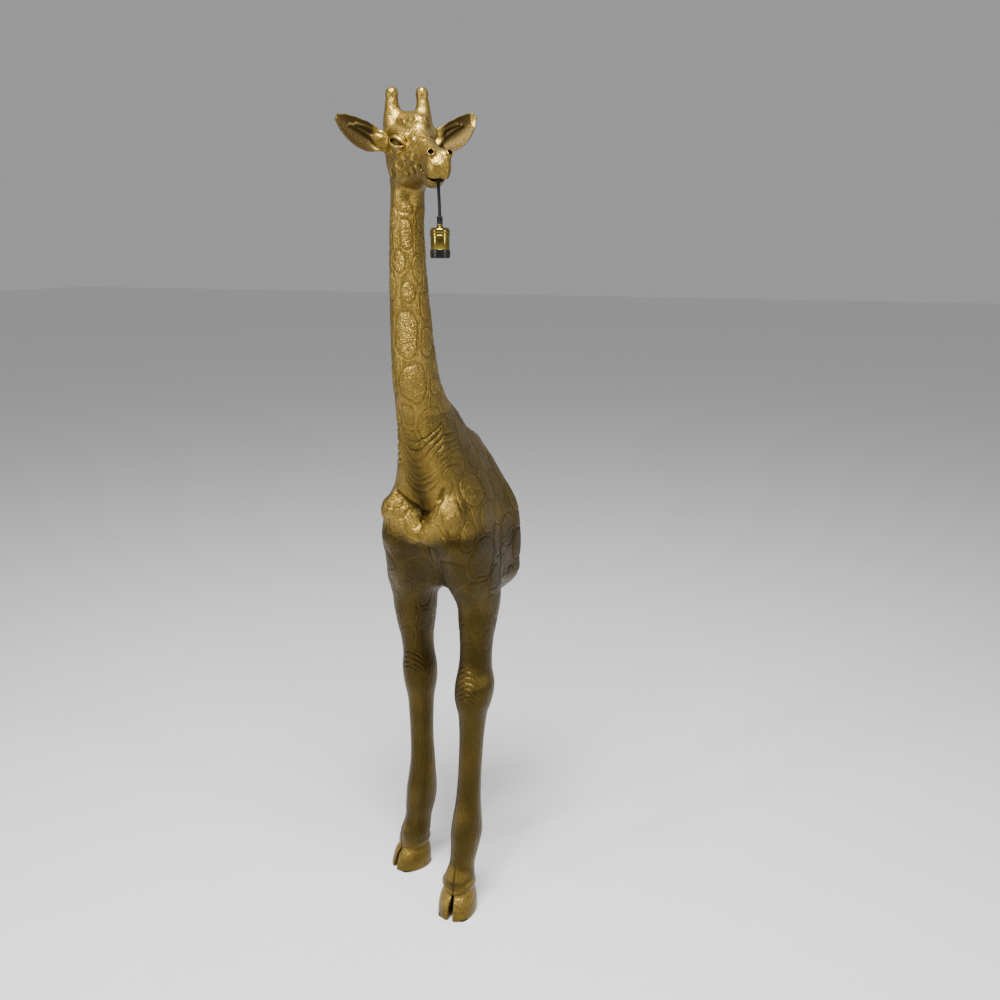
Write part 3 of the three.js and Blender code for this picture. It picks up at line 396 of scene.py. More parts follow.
def head_form(q):
    a, left, z = q
    m = np.abs(left)
    p = (a, m, z)
    d = skull_form((a, left, z))
    d = soft_min(d, ellipsoid(p, (36, 0, 1836), (38, 22, 15)), 20)  # bump of the brow
    d = soft_min(d, ellipsoid(p, (24, 26, 1752), (40, 22, 34)), 12)  # jaw muscle
    d = soft_min(d, taper(p, (14, 40, 1822), (66, 31, 1806), 11, 6), 8)  # brow ridge
    d = soft_min(d, taper(p, (52, 35, 1778), (112, 22, 1762), 8, 5), 12)  # cheek bone
    d = soft_min(d, ellipsoid(p, (166, 13, 1762), (15, 12, 13)), 6)  # wing of the nose
    d = soft_min(d, ellipsoid(p, (166, 9, 1740), (21, 15, 22)), 8)  # upper lip
    d = soft_min(d, ellipsoid(p, (140, 0, 1722), (24, 18, 15)), 8)  # lower lip
    d = soft_min(d, horn_form(a, left, z), 16)
    d = eye_form(d, p)
    return mouth_form(nose_form(d, p), a, left, z)


def horn_form(a, left, z):
    horn = OSSICONE
    m = np.abs(left)
    tip = np.where(left > 0, horn["tip"][1], horn["tip"][-1])
    z = z - (tip - horn["tip"][-1]) * ramp(z, horn["base"], horn["tip"][-1])
    foot = (horn["forward"], horn["left"] + 3, horn["base"])
    head = (horn["forward"] - 3, horn["left"], horn["tip"][-1] - 12)
    shaft = taper((a, m, z), foot, head, 17, horn["radius"] - 1)
    return soft_min(shaft, ellipsoid((a, m, z), head, (12, 12, 12)), 4)


def eye_place(p):
    """Distances from the middle of an eye: outward, along the lids and across them."""
    out = unit(np.array(EYE["out"]))
    along = np.array(EYE["along"])
    along = unit(along - out * (along @ out))
    across = np.cross(out, along)
    across *= np.sign(across[2])
    q = [v - c for v, c in zip(p, EYE["at"])]
    return [dot(q, axis) for axis in (out, along, across)]


def eye_form(d, p):
    """A socket that holds the ball, two heavy lids that slant down to the muzzle, and a crease over them."""
    out, along, across = place = eye_place(p)
    reach = np.sqrt(out**2 + along**2 + across**2)
    d = soft_max(d, -ellipsoid(place, (19, 2, 0), (16, 27, 18)), 8)
    bend = (along / 19) ** 2
    upper, lower = 6 - 7.5 * bend, -7.5 + 7.5 * bend
    opening = np.maximum(np.maximum(across - upper, lower - across), -out)
    d = soft_min(d, soft_max(reach - EYE["radius"] - 4, -opening, 1.2), 3)
    for edge, thick in ((upper + 2.6, 3), (lower - 2.2, 2.2)):
        roll = np.hypot(reach - EYE["radius"] - 4, across - edge) - thick
        d = soft_min(d, np.maximum(roll, np.maximum(np.abs(along) - 21, -out)), 2.5)
    crease = np.maximum(np.abs(across - upper - 9) - 0.9, np.maximum(np.abs(along - 1) - 20, -out))
    d = soft_max(d, -np.maximum(crease, -d - 2.4), 2)
    return soft_min(d, reach - EYE["radius"], 0.8)


def nose_form(d, p):
    nose = np.array(NOSTRIL, float)
    ring = taper(p, nose + (-2, -2, -1), nose + (7, 3.5, 3), 8, 7.6)
    d = soft_min(d, ring, 3)
    return soft_max(d, -taper(p, nose + (-10, -3, -3), nose + (14, 6, 6), 5.2, 5.8), 1.5)


def mouth_form(d, a, left, z):
    """The slit between the lips, and the way down between them for the flex."""
    line = np.interp(a, [r[0] for r in LIP_LINE], [r[1] for r in LIP_LINE]).astype(np.float32)
    width = np.interp(a, [126, 134, 150, 168], [1.5, 2, 2.4, 3]).astype(np.float32)
    slit = np.maximum(np.abs(z - line) - width, -d - 10)
    d = soft_max(d, -np.maximum(slit, 127 - a), 2.5)
    way = np.maximum(np.hypot(a - MOUTH_FORWARD, left) - 6.2, np.maximum(z - 1733, 1690 - z))
    return soft_max(d, -way, 2)


def to_head(p):
    x, y, z = p
    dx, dy = x - HEAD_AT[0], y - HEAD_AT[1]
    a = dx * FORWARD[0] + dy * FORWARD[1]
    left = dx * LEFTWARD[0] + dy * LEFTWARD[1]
    return a, left, z + 0 * a


# ---- whole statue ----
def to_foot(p, hoof):
    """Distances to the animal's left and to the front of a foot's middle."""
    x0, y0, turn = hoof
    turn = math.radians(turn)
    dx, dy = p[0] - x0, p[1] - y0
    return dx * math.cos(turn) + dy * math.sin(turn), dx * math.sin(turn) - dy * math.cos(turn)


def hoof_form(p, hoof):
    """Two claws under the overhanging fringe of the pastern, which dips at the cleft."""
    z = p[2]
    left, front = (v + 0 * z for v in to_foot(p, hoof))
    middle, w, d = levels_at(z, HOOF)
    f = (front - middle) / d
    u = left / (w * (1 - 0.14 * np.clip(f, 0, 1) ** 2))
    k = (np.abs(u) ** 2.4 + np.abs(f) ** 2.4) ** (1 / 2.4)
    body = np.maximum((k - 1) * np.minimum(w, d), np.maximum(z - HOOF[-1][0], HOOF[0][0] - z))
    width = 1.5 + 4.5 * ramp(front, 18, 62) * (1 - ramp(z, 20, 80) * 0.5)
    gap = np.maximum(np.abs(left) - width, np.maximum(14 - front, z - 76))
    dip = 13 * np.clip(f, 0, 1.2) ** 2 * bell(left, 26)
    fringe = np.hypot(np.hypot(left / 39, (front + 6) / 40) * 39 - 33.5, z - 77 + dip) - 8.5
    return soft_min(soft_max(body, -gap, 2.5), fringe, 1.5)


class Grid:
    """Sample points in a box, with the distance to the statue at each."""

    def __init__(self, low, high, step):
        self.low, self.step = np.array(low, float), step
        counts = np.ceil((np.array(high, float) - self.low) / step).astype(int) + 1
        self.axes = [(self.low[i] + step * np.arange(n)).astype(np.float32) for i, n in enumerate(counts)]
        self.d = np.full(counts, FAR, np.float32)

    def window(self, low, high):
        cuts = []
        for axis, a, b in zip(self.axes, low, high):
            i, j = np.searchsorted(axis, (a, b))
            cuts.append(slice(max(i - 1, 0), min(j + 1, len(axis))))
        x, y, z = (axis[c] for axis, c in zip(self.axes, cuts))
        return tuple(cuts), (x[:, None, None], y[None, :, None], z[None, None, :])

    def join(self, form, low, high, k):
        cuts, p = self.window(low, high)
        if all(v.size > 1 for v in p):
            self.d[cuts] = soft_min(self.d[cuts], form(p).astype(np.float32), k)

    def polygons(self):
        grid = openvdb.FloatGrid(FAR)
        grid.copyFromArray(self.d)
        points, quads = grid.convertToQuads(0.0)
        return points * self.step + self.low, quads


def fill(grid):
    """Puts the whole statue, as far as the box reaches, into a grid."""
    cuts, p = grid.window((-150, -130, 735), (150, 345, 1732))
    if all(v.size > 1 for v in p):
        d = true_distance(column_form(p), grid.step)
        grid.d[cuts] = np.minimum(grid.d[cuts], d)
    left, right = SHOULDER_LEFT + LEG_LEFT, shoulder_right() + LEG_RIGHT
    grid.join(lambda q: oval_form(q, left), (-30, -80, 50), (190, 260, 1120), 26)
    grid.join(lambda q: oval_form(q, right), (-210, -80, 50), (30, 260, 1120), 26)
    for side in (-1, 1):
        ends = [(side * x, y, z) for x, y, z in (PECTORAL["high"], PECTORAL["low"])]
        muscle = lambda q, ends=ends: taper(q, *ends, *PECTORAL["radii"])
        grid.join(muscle, (-130, -90, 880), (130, 90, 1090), 10)
    grid.join(lambda q: hoof_form(q, HOOF_LEFT), (-10, -70, -20), (150, 110, 110), 6)
    grid.join(lambda q: hoof_form(q, HOOF_RIGHT), (-210, 50, -20), (-30, 240, 110), 6)
    grid.join(lambda q: taper(q, *NAPE, 31, 33), (-70, -100, 1660), (60, 60, 1850), 10)
    grid.join(lambda q: head_form(to_head(q)), (-130, -260, 1676), (260, 160, 1920), 14)
    for side in (-1, 1):
        grid.join(lambda q, s=side: ear_form(to_head(q), s), (-170, -230, 1740), (170, 130, 1880), 9)


# ---- meshes ----
def mesh_from(name, points, faces):
    mesh = bpy.data.meshes.new(name)
    mesh.vertices.add(len(points))
    mesh.vertices.foreach_set("co", np.ascontiguousarray(points, np.float32).ravel())
    sides = faces.shape[1]
    mesh.loops.add(faces.size)
    mesh.loops.foreach_set("vertex_index", np.ascontiguousarray(faces, np.int32).ravel())
    mesh.polygons.add(len(faces))
    mesh.polygons.foreach_set("loop_start", np.arange(0, faces.size, sides, dtype=np.int32))
    mesh.polygons.foreach_set("use_smooth", np.ones(len(faces), bool))
    mesh.update()
    mesh.validate()
    return mesh


def subdivided(points, faces):
    mesh = mesh_from("coarse", points, faces)
    obj = linked("coarse", mesh)
    modifier = obj.modifiers.new("finer", "SUBSURF")
    modifier.levels = modifier.render_levels = 1
    finer = bpy.data.meshes.new_from_object(obj.evaluated_get(bpy.context.evaluated_depsgraph_get()))
    points = np.empty(len(finer.vertices) * 3, np.float32)
    finer.vertices.foreach_get("co", points)
    faces = np.empty(len(finer.loops), np.int32)
    finer.loops.foreach_get("vertex_index", faces)
    bpy.data.objects.remove(obj)
    bpy.data.meshes.remove(mesh)
    bpy.data.meshes.remove(finer)
    return points.reshape(-1, 3), faces.reshape(-1, 4)


def normals_of(points, faces):
    corners = points[faces]
    flat = np.cross(corners[:, 2] - corners[:, 0], corners[:, 3] - corners[:, 1])
    out = np.zeros_like(points)
    for k in range(4):
        np.add.at(out, faces[:, k], flat)
    return out / (np.linalg.norm(out, axis=1, keepdims=True) + 1e-9)


def opened(mesh):
    bm = bmesh.new()
    bm.from_mesh(mesh)
    return bm


def put_back(bm, mesh):
    bmesh.ops.recalc_face_normals(bm, faces=bm.faces)
    bm.to_mesh(mesh)
    bm.free()


def cut_at(mesh, point, normal):
    """Takes away what lies beyond a plane, and closes the hole."""
    bm = opened(mesh)
    geometry = [*bm.verts, *bm.edges, *bm.faces]
    made = bmesh.ops.bisect_plane(bm, geom=geometry, plane_co=point, plane_no=normal, clear_outer=True)
    edges = [e for e in made["geom_cut"] if isinstance(e, bmesh.types.BMEdge)]
    caps = bmesh.ops.edgeloop_fill(bm, edges=edges)["faces"] if edges else []
    for cap in caps:
        cap.smooth = False
        for edge in cap.edges:
            edge.smooth = False
    put_back(bm, mesh)


def largest_part(points, faces):
    """The largest joined piece, so that no crumb of the field is left."""
    label = np.arange(len(points))
    while True:
        low = label[faces].min(axis=1)
        new = label.copy()
        for k in range(faces.shape[1]):
            np.minimum.at(new, faces[:, k], low)
        new = new[new]
        if (new == label).all():
            break
        label = new
    names, counts = np.unique(label[faces[:, 0]], return_counts=True)
    faces = faces[label[faces[:, 0]] == names[counts.argmax()]]
    used, faces = np.unique(faces, return_inverse=True)
    return points[used], faces.reshape(-1, 4)


def sculpt(name, low, high, step, finer, cuts):
    """One piece of the statue: meshed in a box a little larger than it, engraved, then cut at its seams."""
    grid = Grid(low, high, step * (1))
    fill(grid)
    points, faces = largest_part(*grid.polygons())
    if finer:
        points, faces = subdivided(points, faces)
    normals = normals_of(points, faces)
    height, *skin = engrave(points, normals)
    mesh = mesh_from(name, row(points + normals * height[:, None]), faces)
    # Per point: darkness in the grooves with painted shade in the eyes and ear cups, the patches of the coat,
    # painted shade, and the face.
    for key, values in zip(("groove_and_shade", "coat", "painted_shade", "face"), skin):
        mesh.attributes.new(key, "FLOAT", "POINT").data.foreach_set("value", values.astype(np.float32))
    for point, normal in cuts:
        cut_at(mesh, row(point), normal)
    return linked(name, mesh)


# ---- engraving ----
# Patches of the coat, listed one by one: centre, half width and half height.
PATCHES = [
    ((18, -77, 1677), (13, 13)), ((18, -82, 1625), (13, 28)), ((1, -91, 1568), (16, 23)),
    ((33, -62, 1555), (16, 31)), ((21, -83, 1511), (15, 23)), ((39, -42, 1481), (20, 28)),
    ((14, -86, 1424), (24, 47)), ((41, -41, 1408), (21, 31)), ((22, -75, 1321), (30, 43)),
    ((43, -13, 1313), (19, 20)), ((43, -29, 1226), (33, 42)), ((1, -65, 1261), (14, 34)),
    ((58, 2, 1167), (20, 16)), ((67, 134, 1132), (42, 26)), ((62, -2, 1089), (16, 18)),
    ((97, 66, 1069), (42, 38)), ((77, -12, 1018), (22, 38)), ((121, 97, 1001), (42, 38)),
    ((110, 7, 976), (24, 37)), ((127, 55, 913), (45, 50)), ((-62, -10, 1040), (21, 20)),
    ((-14, -14, 1011), (16, 22)), ((-50, -32, 991), (26, 20)), ((100, 73, 748), (16, 31)),
    ((115, 98, 696), (15, 28)), ((-80, 83, 751), (19, 30)),
]
# Folds of the skin, as lines on its surface.
CHEST_FOLDS = [
    [(-60, -6, 1066), (-37, -10, 1050), (-18, -5, 1035), (3, 1, 1018), (29, -8, 1030), (47, -11, 1047),
     (56, -8, 1080)],
    [(3, 1, 1018), (4, 2, 985), (4, 6, 950), (2, 20, 905)],
]
FLANK_FOLDS = [
    [(126, 178, 910), (127, 215, 914), (124, 252, 924)],
    [(112, 196, 1001), (122, 178, 960), (126, 161, 920), (128, 152, 870), (130, 150, 825)],
]
# Loose skin round the base of the neck: lowest and highest wrinkle on its front, and their spacing.
NECK_WRINKLES = (1071, 1192, 17.5)
# Wrinkled fronts of the knees: centre, half width, lowest and highest wrinkle.
KNEES = [((80, 54), 20, 548, 628), ((-97, 103), 24, 580, 628)]
LANE = 8  # least gap between two patches
LANE_DEPTH = 1.5
WRINKLE_DEPTH = 4
CLEFT_DEPTH = 3.2
KNEE_STEP = 13
TUFT_STEP, TUFT_HEIGHT = 10.5, 2.2
PATCH_TRIES = 7000
LATTICE = np.random.default_rng(7).uniform(-1, 1, (32, 32, 32)).astype(np.float32)


def noise(points, size):
    """Smooth random values between -1 and 1, with features about size millimetres across."""
    q = points / np.asarray(size, float)
    cell = np.floor(q).astype(int)
    t = q - cell
    t = t * t * (3 - 2 * t)
    value = np.zeros(len(points))
    for corner in np.ndindex(2, 2, 2):
        at = (cell + corner) % 32
        weight = np.prod(np.where(corner, t, 1 - t), axis=1)
        value += LATTICE[at[:, 0], at[:, 1], at[:, 2]] * weight
    return value


def patch_size(point):
    """Half width and half height of a patch that is not listed."""
    z = point[2]
    if z > 1290:
        width = 14 + 0.024 * (1700 - z)
        return width, width * 1.6
    if z > 820:
        return 36, 40
    return 17, 28


def scattered_patches(points, normals):
    """Each patch of the coat, with the skin's direction there: the placed ones, then a fill of the rest."""
    found = []
    for centre, half in PATCHES:
        nearest = np.argmin(np.linalg.norm(points - centre, axis=1))
        found.append((np.array(centre, float), normals[nearest], np.array(half, float)))
    order = np.random.default_rng(11).permutation(len(points))
    for scale in (1, 0.72):
        for i in order[:PATCH_TRIES]:
            p, n = points[i], normals[i]
            if not 640 < p[2] < 1665 or p[1] > 296 or abs(n[2]) > 0.93:
                continue
            half = np.array(patch_size(p)) * scale
            centres = np.array([f[0] for f in found])
            halves = np.array([f[2] for f in found])
            along = np.hypot(*(centres[:, :2] - p[:2]).T) / (halves[:, 0] + half[0] + LANE)
            up = (centres[:, 2] - p[2]) / (halves[:, 1] + half[1] + LANE)
            if (np.hypot(along, up) > 0.9).all():
                found.append((p, n, half))
    return found


def patch_distance(points, normals):
    """Distance outside the edge of the nearest patch, negative inside it. A lane parts neighbours."""
    order = np.argsort(points[:, 2])
    p, n = points[order], normals[order]
    nearest = np.full(len(p), FAR)
    second = np.full(len(p), FAR)
    ragged = 2.4 * noise(p, 17) + 0.9 * noise(p, 7)
    for centre, normal, (half_w, half_h) in COAT:
        i, j = np.searchsorted(p[:, 2], (centre[2] - half_h - 25, centre[2] + half_h + 25))
        up = unit(UP - normal * normal[2])
        side = np.cross(up, normal)
        q = p[i:j] - centre
        u, v = q @ side, q @ up
        here = (np.abs(u) < half_w * 2.2) & (n[i:j] @ normal > 0.1) & (np.abs(q @ normal) < half_w * 1.3)
        k = (np.abs(u / half_w) ** 2.7 + np.abs(v / half_h) ** 2.7) ** (1 / 2.7)
        d = np.where(here, (k - 1) * min(half_w, half_h), FAR)
        second[i:j] = np.minimum(second[i:j], np.maximum(nearest[i:j], d))
        nearest[i:j] = np.minimum(nearest[i:j], d)
    out = np.empty(len(p))
    out[order] = np.maximum(nearest, (nearest - second + LANE) / 2) + ragged
    return out


def line_distance(points, line):
    line = np.array(line, float)
    out = np.full(len(points), FAR)
    near = np.all((points > line.min(axis=0) - 22) & (points < line.max(axis=0) + 22), axis=1)
    p = points[near]
    best = np.full(len(p), FAR)
    for start, end in zip(line, line[1:]):
        span = end - start
        t = np.clip((p - start) @ span / (span @ span), 0, 1)
        best = np.minimum(best, np.linalg.norm(p - start - t[:, None] * span, axis=1))
    out[near] = best
    return out


def deepen(groove_and_shade, share):
    np.maximum(groove_and_shade, share, out=groove_and_shade)


def fold(height, groove_and_shade, points, line, depth, width):
    """Sinks a crease along a line and lets the skin roll up on both sides of it."""
    d = line_distance(points, line)
    sunk = bell(d, width)
    height += -depth * sunk + 0.4 * depth * bell(d - 2.4 * width, width)
    deepen(groove_and_shade, 0.8 * sunk)


def neck_wrinkles(points, normals):
    """How deep each point lies in the wrinkles that hang round the base of the neck, from 0 to 1."""
    x, y, z = points.T
    rise = np.where(x > 6, 0.017, 0.028) * (x - 6) ** 2
    level = z - np.minimum(rise, 60) + 9 * noise(points, 34) + 2.4 * noise(points, 11)
    low, high, step = NECK_WRINKLES
    away = np.abs((level - low + step / 2) % step - step / 2)
    sunk = bell(away, 2.9) * np.clip(0.7 + 0.75 * noise(points, 24), 0, 1.1)
    sunk *= ramp(level, low - 12, low) * (1 - ramp(level, high, high + 8))
    return sunk * (1 - ramp(y, 30, 80)) * (z > 1040) * (1 - ramp(normals[:, 1], -0.1, 0.3))


def coat_share(x, y, z, head):
    """Where patches may lie: not on the head, the throat, the lower legs or beside the board."""
    share = (1 - head) * (0.55 * ramp(z, 620, 700) + 0.45 * ramp(z, 790, 850)) * (y < 306)
    return share * (1 - np.exp(-(((x - 4) / 62) ** 2) ** 2 - ((z - 1112) / 62) ** 4) * (y < 60))


def face_relief(height, groove_and_shade, points, normals, head):
    """Fine skin and sunk patches on the face, and painted shade in the eyes and the cups of the ears."""
    a, left, z = to_head(points.T)
    side = np.abs(left)
    out, along, across = eye_place((a, side, z))
    reach = np.sqrt(out**2 + along**2 + across**2)
    bare = head * ramp(z, 1690, 1730) * (1 - ramp(side, 52, 62)) * ramp(reach, 24, 36)
    height += bare * (0.5 * noise(points, 7) + 0.3 * noise(points, 3.4))
    cup = ramp(normals @ np.array([*FORWARD, 0]), 0.2, 0.6) * ramp(side, 66, 80) * head
    # painted shade in the cups of the ears
    deepen(groove_and_shade, 0.75 * cup)
    # painted shade over the front of each eyeball
    deepen(groove_and_shade, 0.95 * (reach < EYE["radius"] + 1.2) * (out > 0))
    uneven = 0.12 * noise(points, 6)
    for centre, radii in FACE_PATCHES:
        k = uneven + np.sqrt(sum(((v - c) / r) ** 2 for v, c, r in zip((a, side, z), centre, radii)))
        sunk = (1 - ramp(k, 0.7, 1)) * bare
        height += 1.1 * bell(k - 1.15, 0.2) * bare - 1.5 * sunk
        deepen(groove_and_shade, 0.6 * sunk)
    return cup


def knee_ripples(height, groove_and_shade, points):
    """Wrinkles across the fronts of the knees, which sag to both sides."""
    x, y, z = points.T
    for (at_x, at_y), half, low, high in KNEES:
        u = (x - at_x) * (y < at_y + 45)
        rise = z + u**2 / (2.2 * half)
        ripple = np.sin(2 * math.pi * (rise - low) / KNEE_STEP)
        wave = ripple * bell(u, half) * (y < at_y + 30) * (np.abs(x - at_x) < 50)
        wave *= ramp(z, low - 8, low + 6) * (1 - ramp(z, high - 6, high + 8))
        height += 1.3 * wave
        deepen(groove_and_shade, -0.7 * wave)


def pastern_clefts(height, groove_and_shade, points):
    """The crease that runs up from the cleft of each hoof."""
    x, y, z = points.T
    for foot in (HOOF_LEFT, HOOF_RIGHT):
        left, front = to_foot((x, y), foot)
        cleft = bell(left, 2.4) * ramp(front, 8, 24) * (np.abs(left) < 60) * (front < 80)
        cleft *= ramp(z, 50, 62) * (1 - ramp(z, 105, 150))
        height -= CLEFT_DEPTH * cleft
        deepen(groove_and_shade, cleft)


def mane(points, normals, head):
    """Short tufts along the back of the neck and over the withers."""
    x, _, z = points.T
    ridge = bell(x, 9) * ramp(normals[:, 1], 0.1, 0.6)
    ridge *= ramp(z, 1120, 1160) * (1 - ramp(z, 1300, 1660) * 0.75) * (1 - head)
    tufts = np.sin(2 * math.pi * z / TUFT_STEP + 0.5 * noise(points, 30))
    return ridge * TUFT_HEIGHT * (1 + tufts)


def painted_shade_share(points, normals, head, cup):
    """Painted shade: darker under the chest and down the legs, with faces turned up and the hooves left
    lighter as if lit from above, a painted shadow in the pit at the throat, and painted shade in the ear
    cups, on faces turned down and on the animal's left flank.
    """
    x, y, z = points.T
    level = z - 0.5 * np.minimum(np.abs(x), 75) - 5 * noise(points, 40)
    behind = np.clip(y - 20, 0, 120)
    # painted shade under the chest and down the legs; faces turned up, and the hooves a little, are left
    # lighter
    low = 1 - ramp(level, 926 - 0.5 * behind, 974 + 0.4 * behind)
    low *= (1 - 0.8 * ramp(normals[:, 2], 0.15, 0.5)) * (1 - 0.22 * ramp(-z, -92, -60))
    width = 14 + 0.3 * np.clip(z - 1000, 0, 60)
    # painted shadow in the pit at the throat, under the neck
    throat = bell(x - 2, width) * ramp(z, 995, 1015) * (1 - ramp(z, 1075, 1320))
    # painted shade on faces turned down
    downward = 0.45 * ramp(-normals[:, 2], 0.1, 0.7) * (z > 990)
    # painted shade on the animal's left flank
    flank = 0.5 * (1 - head) * ramp(normals[:, 0], 0.3, 0.9) * (z < 1250)
    return np.maximum.reduce([low, throat * (y < 60), cup, downward, flank])


def engrave(points, normals):
    """Height of the skin's relief, then each point's share of groove darkness with painted shade in the eyes
    and ear cups, of patch of the coat, of painted shade, and of face.
    """
    x, y, z = points.T
    head = ramp(z, 1668, 1690) * (y < 60)
    coat = coat_share(x, y, z, head)
    edge = patch_distance(points, normals)
    lane = bell(edge, 1.7) * coat
    inside = ramp(-edge, 0.5, 4) * coat
    height = -LANE_DEPTH * lane + 0.5 * inside + 0.42 * inside * noise(points, 4.6)
    height += 0.3 * (1 - head - inside) * noise(points, (3.6, 3.6, 26)) * ramp(z, 60, 90)
    groove_and_shade = 0.55 * lane
    cup = face_relief(height, groove_and_shade, points, normals, head)
    rugged = (1 - ramp(np.abs(z - 1000), 40, 60)) * (1 - ramp(y, 20, 50))
    height += rugged * (0.6 * noise(points, 3.8) + 0.8 * noise(points, (7, 7, 18)))
    for line in CHEST_FOLDS:
        fold(height, groove_and_shade, points, line, 4.5, 5)
    for line in FLANK_FOLDS:
        for side in (1, -1):
            fold(height, groove_and_shade, points, [(side * p[0], *p[1:]) for p in line], 2.4, 4)
    sunk = neck_wrinkles(points, normals)
    height -= WRINKLE_DEPTH * sunk
    deepen(groove_and_shade, 0.8 * sunk)
    knee_ripples(height, groove_and_shade, points)
    pastern_clefts(height, groove_and_shade, points)
    height += mane(points, normals, head)
    return height, groove_and_shade, inside, painted_shade_share(points, normals, head, cup), head


def whole_skin():
    """The statue as one coarse mesh, to scatter the patches on."""
    grid = Grid((-190, -120, 560), (190, 320, 1720), 10)
    fill(grid)
    points, faces = grid.polygons()
    return points, normals_of(points, faces)


COAT = scattered_patches(*whole_skin())
SEAM_HEAD = 1672
SEAM_NECK = 1290
SEAM_LEG = 735
SOLE = 2.4  # thickness of the pads
CUT_Y = 300  # front of the board

# Each casting: its box, mesh step, whether it is subdivided, the planes it ends at, and what it replaces.
CASTINGS = [
    ("trunk", (-150, -75, SEAM_LEG - 12), (150, 312, SEAM_NECK + 12), 5.3, True,
     [((0, 0, SEAM_NECK), UP), ((0, 0, SEAM_LEG), -UP), ((0, CUT_Y, 0), (0, 1, 0))], ["trunk_shell"]),
    ("neck", (-70, -125, SEAM_NECK - 10), (110, 110, SEAM_HEAD + 10), 3.4, True,
     [((0, 0, SEAM_HEAD), UP), ((0, 0, SEAM_NECK), -UP)], ["neck_shell"]),
    ("leg_left_cast", (10, -60, -5), (150, 205, SEAM_LEG + 10), 3.5, True,
     [((0, 0, SEAM_LEG), UP), ((0, 0, SOLE), -UP)], ["leg_left"]),
    ("leg_right_cast", (-190, 60, -5), (-25, 225, SEAM_LEG + 10), 3.5, True,
     [((0, 0, SEAM_LEG), UP), ((0, 0, SOLE), -UP)], ["leg_right"]),
    ("head", (-130, -215, SEAM_HEAD - 6), (170, 90, 1915), 1.5, False,
     [((0, 0, SEAM_HEAD), -UP)], ["head_shell", "ear_left", "ear_right"]),
]
statue = []
for *form, nodes in CASTINGS:
    piece = sculpt(*form)
    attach(piece, "statue")
    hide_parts(*nodes)
    statue.append(piece)


# ---- materials ----
class Shader:
    """A node material on object coordinates, in metres."""

    def __init__(self, name):
        self.material = bpy.data.materials.new(name)
        self.material.use_nodes = True
        self.tree = self.material.node_tree
        self.surface = self.tree.nodes["Principled BSDF"]
        self.place = self.add("TexCoord").outputs["Object"]

    def add(self, kind, inputs=(), **values):
        node = self.tree.nodes.new("ShaderNode" + kind)
        for key, value in values.items():
            setattr(node, key, value)
        for key, value in dict(inputs).items():
            self.feed(value, node.inputs[key])
        return node

    def feed(self, value, socket):
        if isinstance(value, bpy.types.NodeSocket):
            self.tree.links.new(value, socket)
        else:
            socket.default_value = value

    def stretched(self, scale):
        return self.add("Mapping", {"Vector": self.place, "Scale": scale}).outputs["Vector"]

    def grain(self, scale, detail=3, place=None, low=0.3, high=0.7):
        """Noise spread over the range from 0 to 1."""
        inputs = {"Vector": place or self.place, "Scale": scale, "Detail": detail}
        return self.ranged(self.add("TexNoise", inputs).outputs["Fac"], low, high, 0, 1)

    def ranged(self, *values):
        """A value taken from one range to another: value, low, high, then the new low and high."""
        return self.add("MapRange", enumerate(values)).outputs["Result"]

    def maths(self, operation, a, b):
        return self.add("Math", {0: a, 1: b}, operation=operation).outputs[0]

    def times(self, a, b):
        return self.maths("MULTIPLY", a, b)

    def mixed(self, share, a, b):
        a, b = ((*v, 1) if isinstance(v, tuple) else v for v in (a, b))
        return self.add("Mix", {"Factor": share, 6: a, 7: b}, data_type="RGBA").outputs[2]

    def attribute(self, name):
        return self.add("Attribute", attribute_name=name).outputs["Fac"]

    def bump(self, height, distance, strength=1.0):
        inputs = {"Height": height, "Distance": distance, "Strength": strength}
        normal = self.surface.inputs["Normal"]
        if normal.is_linked:
            inputs["Normal"] = normal.links[0].from_socket
        self.feed(self.add("Bump", inputs).outputs["Normal"], normal)

    def finish(self, colour, roughness, metallic=0.0, gloss=0.5):
        inputs = self.surface.inputs
        self.feed(colour, inputs["Base Color"])
        self.feed(roughness, inputs["Roughness"])
        self.feed(metallic, inputs["Metallic"])
        inputs["Specular IOR Level"].default_value = gloss
        return self.material


